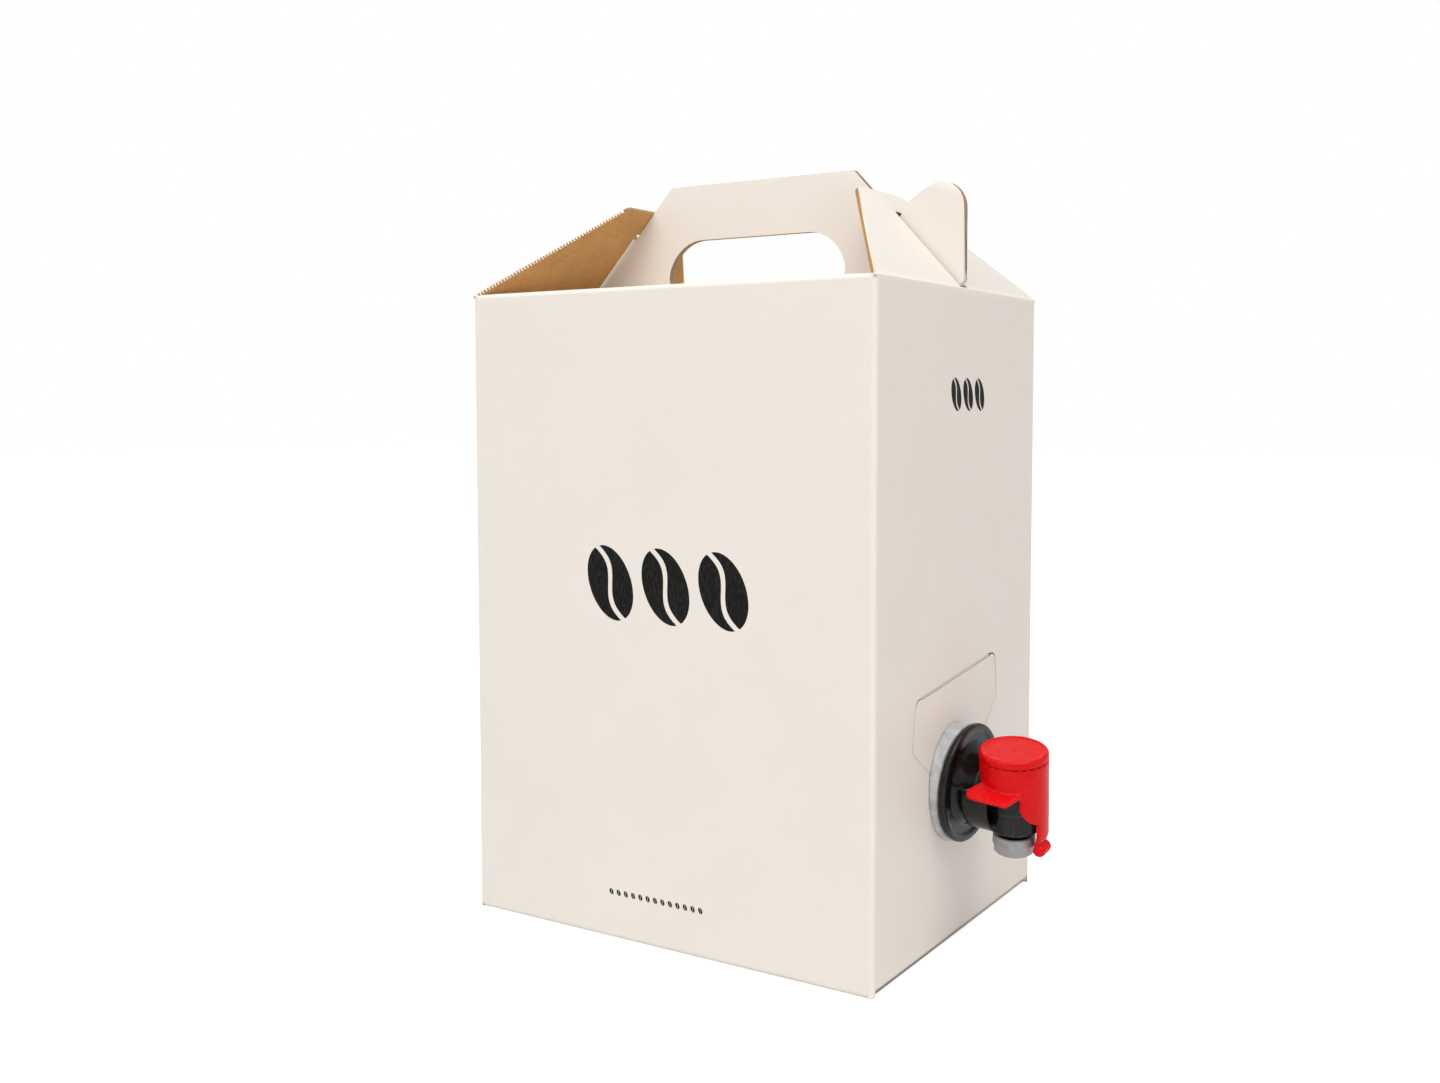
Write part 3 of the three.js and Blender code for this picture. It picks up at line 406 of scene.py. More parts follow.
@dataclass(frozen=True)
class LinerFinish(Finish):
    """The brown inner liner, with clouds and fibres."""

    name: str = "brown_liner"
    colour: Colour = (0.56, 0.30, 0.098)
    dark_colour: Colour = (0.49, 0.25, 0.078)
    fleck_colour: Colour = (0.62, 0.37, 0.15)
    cloud_size: float = 16.0
    fibre_size: float = 0.9
    fleck_share: float = 0.45
    roughness: float = 0.82
    bump: Pair = (0.35, 0.1)

    def paint(self, tree: Tree, place: Socket) -> tuple[dict, Socket]:
        """Adds the liner's clouds and light fibres.

        Args:
            tree: the material's tree.
            place: the Object coordinates.

        Returns:
            The surface's inputs, and the height for its bump.
        """
        inputs = {"Vector": place, "Cloud Size": self.cloud_size, "Fibre Size": self.fibre_size}
        paper = add_node(tree, "ShaderNodeGroup", inputs, node_tree=paper_fibres())
        colour = mixed(tree, paper.outputs["Clouds"], self.colour, self.dark_colour)
        flecks = calc(tree, "MULTIPLY", paper.outputs["Fibres"], self.fleck_share)
        colour = mixed(tree, flecks, colour, self.fleck_colour)
        return {"Base Color": colour, "Roughness": self.roughness}, paper.outputs["Height"]


@dataclass(frozen=True)
class CutEdgeFinish(Finish):
    """The die-cut edge of the board: two liners with the fluted paper between them, and painted
    shade in the hollows.

    It follows the board_edge UV map, with the flute's number across and the depth up.
    """

    name: str = "cut_edge"
    coat_depth: float = 0.1
    paper_colour: Colour = (0.50, 0.33, 0.18)
    # painted shade: the dark colour of the hollows between the flutes
    hollow_shade_colour: Colour = (0.17, 0.10, 0.05)
    coat_colour: Colour = (0.80, 0.74, 0.68)
    flute_swing: float = 0.31
    flute_band: Pair = (0.2, 0.09)
    liner_band: Pair = (0.33, 0.38)
    coat_band: Pair = (1.4, 0.6)
    crush_size: float = 5.0
    crush: Pair = (0.5, 0.25)
    roughness: float = 0.9
    bump: Pair = (0.6, 0.3)

    def paint(self, tree: Tree, place: Socket) -> tuple[dict, Socket]:
        """Adds the flutes, the liners, the crushed places and the painted shade in the hollows
        between them.

        Args:
            tree: the material's tree.
            place: the Object coordinates.

        Returns:
            The surface's inputs, and the height for its bump.
        """
        edge = add_node(tree, "ShaderNodeUVMap", uv_map="board_edge").outputs[0]
        split = add_node(tree, "ShaderNodeSeparateXYZ", {0: edge})
        depth = split.outputs["Y"]
        turn = calc(tree, "SINE", calc(tree, "MULTIPLY", split.outputs["X"], 2 * math.pi))
        wave = calc(tree, "MULTIPLY_ADD", turn, self.flute_swing, 0.5)
        away = calc(tree, "ABSOLUTE", calc(tree, "SUBTRACT", depth, wave))
        middle = calc(tree, "ABSOLUTE", calc(tree, "SUBTRACT", depth, 0.5))
        flute = smooth_range(tree, away, *self.flute_band)
        solid = calc(tree, "MAXIMUM", flute, smooth_range(tree, middle, *self.liner_band))
        inputs = {"Vector": place, "Cloud Size": self.crush_size}
        paper = add_node(tree, "ShaderNodeGroup", inputs, node_tree=paper_fibres())
        crushed = calc(tree, "MULTIPLY_ADD", paper.outputs["Clouds"], *self.crush)
        solid = calc(tree, "MAXIMUM", solid, crushed)
        # the hollows where no paper is get the painted shade colour
        colour = mixed(tree, solid, self.hollow_shade_colour, self.paper_colour)
        coat = smooth_range(tree, depth, *(self.coat_depth * share for share in self.coat_band))
        colour = mixed(tree, coat, colour, self.coat_colour)
        return {"Base Color": colour, "Roughness": self.roughness}, solid


@dataclass(frozen=True)
class MouldedFinish(Finish):
    """A moulded plastic: its colour, its haze and how glossy it is."""

    name: str
    colour: Colour
    haze_colour: Colour
    roughness: float
    haze_roughness: float
    shine: float = 0.4
    subsurface: float = 0.0
    depth: float = 2.0
    bump: Pair = (0.05, 0.08)

    def paint(self, tree: Tree, place: Socket) -> tuple[dict, Socket]:
        """Adds the haze and the depth of the plastic.

        Args:
            tree: the material's tree.
            place: the Object coordinates.

        Returns:
            The surface's inputs, and the height for its bump.
        """
        skin = add_node(tree, "ShaderNodeGroup", {"Vector": place}, node_tree=moulded_skin())
        haze = skin.outputs["Haze"]
        spread = self.haze_roughness - self.roughness
        inputs = {
            "Base Color": mixed(tree, haze, self.colour, self.haze_colour),
            "Roughness": calc(tree, "MULTIPLY_ADD", haze, spread, self.roughness),
            "Specular IOR Level": self.shine,
            "Subsurface Weight": self.subsurface,
            "Subsurface Scale": self.depth * MM,
        }
        return inputs, skin.outputs["Height"]


@dataclass(frozen=True)
class InkFinish(Finish):
    """Black ink, thin enough for the paper's tooth to show."""

    name: str = "black_ink"
    colour: Colour = (0.005, 0.005, 0.005)
    worn_colour: Colour = (0.016, 0.015, 0.014)
    roughness: float = 0.5
    shine: float = 0.12
    bump: Pair = (0.15, 0.06)

    def paint(self, tree: Tree, place: Socket) -> tuple[dict, Socket]:
        """Adds the ink, worn on the fibres.

        Args:
            tree: the material's tree.
            place: the Object coordinates.

        Returns:
            The surface's inputs, and the height for its bump.
        """
        paper = add_node(tree, "ShaderNodeGroup", {"Vector": place}, node_tree=paper_fibres())
        inputs = {
            "Base Color": mixed(tree, paper.outputs["Fibres"], self.colour, self.worn_colour),
            "Roughness": self.roughness,
            "Specular IOR Level": self.shine,
        }
        return inputs, paper.outputs["Height"]


@dataclass(frozen=True)
class FilmFinish(Finish):
    """The bag's metallised film, creased where it is drawn in."""

    name: str = "bag_film"
    colour: Colour = (0.62, 0.63, 0.65)
    metal: float = 0.8
    roughness: float = 0.32
    crease_roughness: float = 0.25
    crease_scale: float = 38.0
    bump: Pair = (0.7, 3.0)

    def paint(self, tree: Tree, place: Socket) -> tuple[dict, Socket]:
        """Adds the film's creases.

        Args:
            tree: the material's tree.
            place: the Object coordinates.

        Returns:
            The surface's inputs, and the height for its bump.
        """
        spots = {"Vector": place, "Scale": self.crease_scale, "Detail": 6.0, "Distortion": 2.2}
        creases = add_node(tree, "ShaderNodeTexNoise", spots).outputs[0]
        inputs = {
            "Base Color": (*self.colour, 1.0),
            "Metallic": self.metal,
            "Roughness": calc(
                tree, "MULTIPLY_ADD", creases, self.crease_roughness, self.roughness
            ),
        }
        return inputs, creases


BLACK_PLASTIC = MouldedFinish(
    "black_moulding", (0.006, 0.006, 0.006), (0.012, 0.012, 0.0115), 0.2, 0.28, shine=0.3
)
RED_PLASTIC = MouldedFinish(
    "red_moulding", (0.68, 0.0015, 0.004), (0.71, 0.003, 0.006), 0.26, 0.32, shine=0.16
)
NATURAL_PLASTIC = MouldedFinish(
    "natural_moulding", (0.42, 0.42, 0.43), (0.56, 0.56, 0.57), 0.3, 0.44, subsurface=0.3
)
CLEAR_PLASTIC = MouldedFinish(
    "cloudy_moulding", (0.36, 0.35, 0.35), (0.42, 0.41, 0.41), 0.25, 0.35, subsurface=0.4
)
STEM_PLASTIC = MouldedFinish("stem_moulding", (0.74, 0.74, 0.73), (0.70, 0.70, 0.69), 0.4, 0.5)
SOFT_SEAL = MouldedFinish("seal_moulding", (0.15, 0.15, 0.145), (0.19, 0.19, 0.18), 0.55, 0.7)


# Meshes


def link(name: str, mesh: Mesh) -> Piece:
    """Puts a mesh in the scene as an object at the origin.

    Args:
        name: the object's name.
        mesh: its mesh.

    Returns:
        The object.
    """
    piece = bpy.data.objects.new(name, mesh)
    bpy.context.scene.collection.objects.link(piece)
    return piece


def as_mesh(shape: Shape, name: str, *materials: Material) -> Mesh:
    """Turns a drawing into a mesh and frees the drawing.

    Args:
        shape: the drawing.
        name: the mesh's name.
        materials: the mesh's materials.

    Returns:
        The mesh.
    """
    mesh = bpy.data.meshes.new(name)
    shape.to_mesh(mesh)
    shape.free()
    for material in materials:
        mesh.materials.append(material)
    return mesh


def joined(name: str, meshes: Iterable[Mesh], *materials: Material) -> Mesh:
    """Joins meshes, which are used up.

    Args:
        name: the new mesh's name.
        meshes: the meshes.
        materials: the new mesh's materials.

    Returns:
        The new mesh.
    """
    shape = bmesh.new()
    for mesh in meshes:
        shape.from_mesh(mesh)
        bpy.data.meshes.remove(mesh)
    return as_mesh(shape, name, *materials)


def draw_prism(shape: Shape, ring: Iterable[Vector], step: Vector) -> None:
    """Adds a closed prism to a drawing.

    Args:
        shape: the drawing.
        ring: the prism's outline, in millimetres.
        step: how far and which way it is drawn out.
    """
    face = shape.faces.new([shape.verts.new(point * MM) for point in ring])
    grown = bmesh.ops.extrude_face_region(shape, geom=[face])
    moved = [v for v in grown["geom"] if isinstance(v, bmesh.types.BMVert)]
    bmesh.ops.translate(shape, verts=moved, vec=step * MM)
    bmesh.ops.recalc_face_normals(shape, faces=shape.faces)


def merged_copy(node: str, name: str) -> Piece:
    """Copies a CAD node with its doubled points merged.

    Args:
        node: the CAD node's name.
        name: the copy's name.

    Returns:
        The copy, at the origin.
    """
    mesh = frame["nodes"][node].data.copy()
    mesh.materials.clear()
    shape = bmesh.new()
    shape.from_mesh(mesh)
    bmesh.ops.remove_doubles(shape, verts=shape.verts, dist=MERGE_REACH * MM)
    shape.to_mesh(mesh)
    shape.free()
    while mesh.uv_layers:
        mesh.uv_layers.remove(mesh.uv_layers[0])
    return link(name, mesh)


def settle(piece: Piece) -> None:
    """Applies a piece's modifiers, so that its mesh is plain.

    Args:
        piece: the object with modifiers.
    """
    bpy.context.view_layer.update()
    evaluated = piece.evaluated_get(bpy.context.evaluated_depsgraph_get())
    mesh = bpy.data.meshes.new_from_object(evaluated)
    mesh.name = piece.name
    piece.modifiers.clear()
    piece.data = mesh


def soften(piece: Piece, degrees: float) -> None:
    """Shades a piece smooth, with its flat faces kept flat beside narrow rounded ones.

    Args:
        piece: the object.
        degrees: edges that turn more than this stay sharp.
    """
    piece.data.shade_smooth()
    piece.data.set_sharp_from_angle(angle=math.radians(degrees))
    weighted = piece.modifiers.new("weighted", "WEIGHTED_NORMAL")
    weighted.keep_sharp = True
    weighted.weight = 100
    settle(piece)


def remake(piece: Piece, voxel: float, smoothing: int) -> None:
    """Adds the modifiers that remake a mesh evenly and round its edges.

    Args:
        piece: the object.
        voxel: how finely it is remade.
        smoothing: how often it is smoothed.
    """
    remesh = piece.modifiers.new("even", "REMESH")
    remesh.mode = "VOXEL"
    remesh.voxel_size = voxel * MM
    remesh.use_smooth_shade = True
    piece.modifiers.new("round", "SMOOTH").iterations = smoothing


def rounded_path(corners: Iterable[Triple], steps: int = 6) -> list[Pair]:
    """Rounds the corners of a flat open path.

    Args:
        corners: each corner as (across, up, radius); the two ends need no radius.
        steps: how many parts each rounded corner has.

    Returns:
        The path's points.
    """
    corners = list(corners)
    path = [corners[0][:2]]
    for before, corner, after in zip(corners, corners[1:], corners[2:]):
        middle = Vector(corner[:2])
        back = (Vector(before[:2]) - middle).normalized()
        ahead = (Vector(after[:2]) - middle).normalized()
        half = math.acos(max(-1.0, min(1.0, back.dot(ahead)))) / 2
        reach = corner[2] / math.tan(half)
        for k in range(steps + 1):
            share = k / steps
            first = middle + back * reach * (1 - share)
            second = middle + ahead * reach * share
            path.append(tuple(first.lerp(second, share)))
    path.append(corners[-1][:2])
    return path


def ribbon(path: list[Pair], width: float, low: float, high: float) -> Mesh:
    """Makes a closed strip of one width along a flat path.

    Args:
        path: the path's points.
        width: across the strip.
        low: the strip's underside.
        high: its top.

    Returns:
        The strip's mesh, in metres.
    """
    shape = bmesh.new()
    rings = []
    for k, point in enumerate(path):
        before = Vector(path[max(k - 1, 0)])
        after = Vector(path[min(k + 1, len(path) - 1)])
        along = (after - before).normalized()
        side = Vector((-along.y, along.x)) * width / 2
        here = Vector(point)
        ends = ((here + side, low), (here - side, low), (here - side, high), (here + side, high))
        rings.append([shape.verts.new(Vector((*flat, up)) * MM) for flat, up in ends])
    for one, two in zip(rings, rings[1:]):
        for k in range(len(one)):
            shape.faces.new((one[k], one[k - 1], two[k - 1], two[k]))
    shape.faces.new(rings[0])
    shape.faces.new(rings[-1])
    bmesh.ops.recalc_face_normals(shape, faces=shape.faces)
    return as_mesh(shape, "ribbon")


def on_panel(
    side: FlapSide | None, across: float = 0.0, up: float = 0.0, sunk: float = 0.0
) -> Matrix:
    """Gives the place of a flat drawing on a panel.

    Args:
        side: the side of a narrow panel, or None for the front panel.
        across: along the panel, to the right as seen from outside.
        up: above the floor.
        sunk: how deep it lies under the surface.

    Returns:
        The matrix from the drawing to the panel.
    """
    if side is None:
        right, out = Vector((1, 0, 0)), Vector((0, -1, 0))
        place = Vector((across, sunk - HALF_DEPTH, up))
    else:
        sign = side.value
        right, out = Vector((0, sign, 0)), Vector((sign, 0, 0))
        place = Vector((sign * (HALF_WIDTH - sunk), sign * across, up))
    return matrix_of((right, Vector((0, 0, 1)), out, place * MM))


def lay_copies(tree: Tree, given: Node, result: Node, inputs: dict[str, Socket]) -> Tree:
    """Lays copies of a shape on points, in the finish that the tree is given.

    Args:
        tree: the tree.
        given: its input node.
        result: its output node.
        inputs: the points, the shape, and how it is turned and sized.

    Returns:
        The tree.
    """
    laid = add_node(tree, "GeometryNodeInstanceOnPoints", inputs)
    real = add_node(tree, "GeometryNodeRealizeInstances", {"Geometry": laid.outputs[0]})
    dressing = {"Geometry": real.outputs[0], "Material": given.outputs["Finish"]}
    dressed = add_node(tree, "GeometryNodeSetMaterial", dressing)
    return close_tree(tree, result, {"Geometry": dressed.outputs[0]})


@cache
def row_tree() -> Tree:
    """Builds the tree that lays copies of one shape along a line.

    Returns:
        The tree, with inputs Shape, Count, Length, Size, Tilt and Finish.
    """
    inputs = {"Geometry": "Geometry", "Shape": "Object", "Count": "Int", "Length": "Float"}
    inputs |= {"Size": "Float", "Tilt": "Float", "Finish": "Material"}
    tree, given, result = new_tree("shape_row", "Geometry", inputs, {"Geometry": "Geometry"})
    start, end = (
        add_node(
            tree,
            "ShaderNodeCombineXYZ",
            {"X": calc(tree, "MULTIPLY", given.outputs["Length"], share)},
        ).outputs[0]
        for share in (-0.5, 0.5)
    )
    count = given.outputs["Count"]
    ends = {"Count": count, "Start Location": start, "Offset": end}
    line = add_node(tree, "GeometryNodeMeshLine", ends, mode="END_POINTS")
    shape = add_node(tree, "GeometryNodeObjectInfo", {"Object": given.outputs["Shape"]})
    turn = add_node(tree, "ShaderNodeCombineXYZ", {"Z": given.outputs["Tilt"]})
    flat = {"X": given.outputs["Size"], "Y": given.outputs["Size"], "Z": 1.0}
    copies = {
        "Points": line.outputs[0],
        "Instance": shape.outputs["Geometry"],
        "Rotation": turn.outputs[0],
        "Scale": add_node(tree, "ShaderNodeCombineXYZ", flat).outputs[0],
    }
    return lay_copies(tree, given, result, copies)


@cache
def ring_tree() -> Tree:
    """Builds the tree that sets small bridges round a ring.

    Returns:
        The tree, with inputs Count, Radius, Size and Finish.
    """
    inputs = {"Geometry": "Geometry", "Count": "Int", "Radius": "Float"}
    inputs |= {"Size": "Vector", "Finish": "Material"}
    tree, given, result = new_tree("bridge_ring", "Geometry", inputs, {"Geometry": "Geometry"})
    circle = {"Vertices": given.outputs["Count"], "Radius": given.outputs["Radius"]}
    place = {"Vector": add_node(tree, "GeometryNodeInputPosition").outputs[0]}
    turn = add_node(
        tree, "FunctionNodeAlignRotationToVector", place, axis="X", pivot_axis="Z"
    )
    cube = {"Size": given.outputs["Size"], "Vertices X": 2, "Vertices Y": 3, "Vertices Z": 2}
    copies = {
        "Points": add_node(tree, "GeometryNodeMeshCircle", circle).outputs[0],
        "Instance": add_node(tree, "GeometryNodeMeshCube", cube).outputs[0],
        "Rotation": turn.outputs[0],
    }
    return lay_copies(tree, given, result, copies)


def grown(name: str, tree: Tree, values: dict) -> Piece:
    """Makes a piece with a Geometry Nodes tree and keeps its plain mesh.

    Args:
        name: the piece's name.
        tree: the tree.
        values: each named input's value.

    Returns:
        The piece.
    """
    piece = link(name, bpy.data.meshes.new(name))
    modifier = piece.modifiers.new("grow", "NODES")
    modifier.node_group = tree
    for item in tree.interface.items_tree:
        if item.item_type == "SOCKET" and item.in_out == "INPUT" and item.name in values:
            modifier[item.identifier] = values[item.name]
    settle(piece)
    return piece


# Carton


@dataclass
class BoardDresser:
    """Sorts the faces of a piece of folded board and gives each its finish."""

    board: float = 1.5
    thickest: float = 3.7
    flute_pitch: float = 3.2
    top_band: float = 5.0
    end_start: float = 85.0
    foot_band: float = 8.0
    foot_flat: float = 0.6
    door_wall: float = 86.0
    door_top: float = 115.0
    fold_place: Pair = (89.25, 249.25)
    fold_reach: float = 2.6
    skin: float = 0.01
    facing: float = 0.5
    along_y: float = 0.3
    finishes: tuple[Finish, ...] = (
        CoatedFinish(),
        LinerFinish(),
        CutEdgeFinish(),
        CutEdgeFinish(name="door_cut", coat_depth=0.5, coat_colour=(0.60, 0.53, 0.45)),
    )
    materials: list[Material] = field(init=False)

    def __post_init__(self) -> None:
        """Builds the materials, in the order of the board's faces."""
        self.materials = [finish.material() for finish in self.finishes]

    def material(self, face: BoardFace) -> Material:
        """Gives the material of one face of the board."""
        return self.materials[face.value]

    def faces_out(self, centre: Vector, normal: Vector, flap: int) -> bool:
        """Tells whether a face of the sheet is on the coated side.

        Args:
            centre: the face's middle, in millimetres.
            normal: its normal.
            flap: the sign of the side flap, or 0 for the carton's body.

        Returns:
            True on the coated side.
        """
        if flap:
            return normal.x * flap + normal.z > 0
        if centre.z > HEIGHT - self.top_band:
            ends = abs(centre.x) > self.end_start and abs(normal.x) > self.facing
            if ends and centre.z < HEIGHT:
                return normal.x * centre.x > 0
            return normal.z + normal.y * math.copysign(1, centre.y) > 0
        if centre.z < self.foot_band and abs(normal.z) > self.foot_flat:
            return normal.z < 0
        return normal.x * centre.x / HALF_WIDTH + normal.y * centre.y / HALF_DEPTH > 0

    def kind_of(self, face: bmesh.types.BMFace, sheet: BVHTree, flap: int) -> BoardFace:
        """Tells which face of the board a triangle belongs to.

        Args:
            face: the triangle.
            sheet: the whole piece, to measure how thick it is there.
            flap: the sign of the side flap, or 0 for the carton's body.

        Returns:
            The kind of face.
        """
        centre = face.calc_center_median() / MM
        from_fold = Vector((abs(centre.x), centre.z)) - Vector(self.fold_place)
        if from_fold.length < self.fold_reach and abs(face.normal.y) < self.facing:
            return BoardFace.COATED
        start = (centre - face.normal * self.skin) * MM
        through = sheet.ray_cast(start, -face.normal)[3]
        if through is None or through > self.thickest * MM:
            on_door = centre.x > self.door_wall and centre.z < self.door_top and not flap
            return BoardFace.DOOR_CUT if on_door else BoardFace.CUT
        outside = self.faces_out(centre, face.normal, flap)
        return BoardFace.COATED if outside else BoardFace.LINER

    def dress(self, piece: Piece, flap: int = 0) -> None:
        """Gives each face its slot, and the cut edges their UV map.

        Args:
            piece: a merged copy of a board node.
            flap: the sign of the side flap, or 0 for the carton's body.
        """
        shape = bmesh.new()
        shape.from_mesh(piece.data)
        shape.normal_update()
        sheet = BVHTree.FromBMesh(shape)
        layer = shape.loops.layers.uv.new("board_edge")
        for face in shape.faces:
            face.material_index = self.kind_of(face, sheet, flap).value
        coated = [f for f in shape.faces if f.material_index == BoardFace.COATED.value]
        points = [v.co.copy() for v in shape.verts]
        outside = BVHTree.FromPolygons(points, [[v.index for v in f.verts] for f in coated])
        for face in shape.faces:
            if face.material_index < BoardFace.CUT.value:
                continue
            beside = outside.find_nearest(face.calc_center_median())[1]
            across = 1 if abs(beside.x) > self.along_y else 0
            for loop in face.loops:
                place = loop.vert.co
                away = outside.find_nearest(place)[3]
                flute = place[across] / (self.flute_pitch * MM)
                loop[layer].uv = (flute, min(away / (self.board * MM), 1.0))
        shape.to_mesh(piece.data)
        shape.free()
        for material in self.materials:
            piece.data.materials.append(material)


@dataclass
class Carton:
    """The carton body and its two side flaps, in dressed board."""

    dresser: BoardDresser = field(default_factory=BoardDresser)
    sharp: float = 40.0
    hook_start: Pair = (68.0, 268.0)
    hook_rise: Pair = (-4.2, 1.6)
    hook_blend: float = 12.0
    bead_radius: float = 0.76
    bead_length: float = 147.0
    bead_foot: float = 245.6
    bead_sunk: float = 0.015
    bead_arc: Pair = (-10.0, 190.0)
    bead_parts: int = 12
    foot_under: tuple[float, ...] = (80.0, 87.9, 56.0, 73.8, 0.06, 1.5)
    foot_post: tuple[float, ...] = (88.3, 89.6, 72.6, 74.4, 1.0, 4.2)
    flap_slope: float = 47.5
    flap_spread: float = 0.04
    flap_rise: float = 39.0
    tooth_size: Triple = (0.7, 0.7, 0.5)
    tooth_thickness: float = 0.7
    tooth_pitch: float = 1.4
    tooth_end: float = 1.5
    crease_band: Pair = (0.5, 4.0)
    sheet_start: float = 5.0
    crest_start: float = 30.0
    crest_way: Pair = (0.69, 0.72)
    lip_width: float = 0.8
    lip_low: float = -0.9
    lip_high: float = -0.18
    door_corner: float = 4.0
    door_cuts: tuple[tuple[Pair, ...], ...] = (
        ((-21.3, 64.2), (-44.4, 80.1), (-41.6, 98.4)),
        ((8.1, 64.2), (35.2, 88.0), (33.8, 106.4)),
    )

    def strips(self, name: str, meshes: list[Mesh], face: BoardFace) -> Piece:
        """Joins strips of board or paper into one piece of the carton.

        Args:
            name: the piece's name.
            meshes: the strips, which are used up.
            face: which finish of the board they wear.

        Returns:
            The piece.
        """
        piece = link(name, joined(name, meshes, self.dresser.material(face)))
        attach(piece, "root")
        return piece

    def door_lips(self) -> Piece:
        """Lays the torn paper left in the door's cut lines, just under the surface.

        Returns:
            The strips of paper.
        """
        lips = []
        for cut in self.door_cuts:
            path = rounded_path((*point, self.door_corner) for point in cut)
            lips.append(ribbon(path, self.lip_width, self.lip_low, self.lip_high))
            lips[-1].transform(on_panel(FlapSide.RIGHT))
        return self.strips("door_lips", lips, BoardFace.COATED)

    def bar(self, side: FlapSide, outline: list[Pair], start: float, end: float) -> Mesh:
        """Makes a closed bar along Y.

        Args:
            side: on which side of the carton it lies.
            outline: its section, as points out from the middle and up.
            start: where it starts along Y.
            end: where it ends.

        Returns:
            The bar's mesh, in metres.
        """
        shape = bmesh.new()
        ring = [Vector((side.value * out, start, up)) for out, up in outline]
        draw_prism(shape, ring, Vector((0, end - start, 0)))
        return as_mesh(shape, "bar")

    def fold_beads(self) -> Piece:
        """Lays the rounded crease along the fold of each side flap.

        Returns:
            The two creases.
        """
        across, up = self.dresser.fold_place
        start, end = self.bead_arc
        outline = []
        for k in range(self.bead_parts + 1):
            turn = math.radians(start + (end - start) * k / self.bead_parts)
            rim = (math.cos(turn) * self.bead_radius, math.sin(turn) * self.bead_radius)
            outline.append((across + rim[0], up + rim[1]))
        outline.append((across - self.bead_radius, self.bead_foot))
        outline.append((HALF_WIDTH - self.bead_sunk, self.bead_foot))
        half = self.bead_length / 2
        beads = [self.bar(side, outline, -half, half) for side in FlapSide]
        return self.strips("fold_beads", beads, BoardFace.COATED)

    def foot_corners(self) -> list[Piece]:
        """Closes the gap under the narrow panels behind the outer bottom flap.

        Returns:
            The bars under the panels, and the small posts in the corners.
        """
        pieces = []
        for name, sizes, face in (
            ("foot_bars", self.foot_under, BoardFace.DOOR_CUT),
            ("foot_posts", self.foot_post, BoardFace.COATED),
        ):
            inner, outer, start, end, low, high = sizes
            outline = [(inner, low), (outer, low), (outer, high), (inner, high)]
            bars = [self.bar(side, outline, start, end) for side in FlapSide]
            pieces.append(self.strips(name, bars, face))
        return pieces

    def body(self) -> Piece:
        """Dresses the carton body.

        Returns:
            The folded blank.
        """
        piece = merged_copy("carton_body", "folded_blank")
        for vertex in piece.data.vertices:
            place = vertex.co / MM
            rise = self.hook_rise[0] if place.x < 0 else self.hook_rise[1]
            out = limited((abs(place.x) - self.hook_start[0]) / self.hook_blend)
            up = limited((place.z - self.hook_start[1]) / self.hook_blend)
            vertex.co.z += rise * out * up * MM
        self.dresser.dress(piece)
        soften(piece, self.sharp)
        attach(piece, "root")
        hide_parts("carton_body")
        return piece

    def flap(self, side: FlapSide) -> Piece:
        """Dresses one side flap.

        Args:
            side: which flap.

        Returns:
            The flap.
        """
        name = side.name.lower()
        piece = merged_copy(f"side_flap_{name}", f"hooked_flap_{name}")
        for vertex in piece.data.vertices:
            up = vertex.co.z / MM - self.dresser.fold_place[1]
            vertex.co.y *= 1 + self.flap_spread * limited(1 - up / self.flap_rise)
        self.dresser.dress(piece, side.value)
        soften(piece, self.sharp)
        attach(piece, f"flap_{name}")
        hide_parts(f"side_flap_{name}")
        return piece

    def tooth(self) -> Piece:
        """Makes one tooth of the serrated cut, in the board's brown half.

        Returns:
            The tooth, pointing along +Y with its root sunk in the board.
        """
        wide, tall, sunk = self.tooth_size
        flat = ((-wide / 2, -sunk), (wide / 2, -sunk), (wide / 2, 0), (0, tall), (-wide / 2, 0))
        ring = [Vector((x, y, -self.tooth_thickness / 2)) for x, y in flat]
        shape = bmesh.new()
        draw_prism(shape, ring, Vector((0, 0, self.tooth_thickness)))
        return link("tooth", as_mesh(shape, "tooth"))

    def tooth_row(self, tooth: Piece, place: Matrix, length: float) -> Mesh:
        """Lays one row of teeth.

        Args:
            tooth: the tooth.
            place: from the row's middle to the carton.
            length: how long the row is.

        Returns:
            The row's mesh.
        """
        values = {
            "Shape": tooth,
            "Count": int(length / self.tooth_pitch),
            "Length": length * MM,
            "Size": 1.0,
            "Tilt": 0.0,
            "Finish": self.dresser.material(BoardFace.LINER),
        }
        row = grown("tooth_row", row_tree(), values)
        row.data.transform(place)
        mesh = row.data
        bpy.data.objects.remove(row)
        return mesh

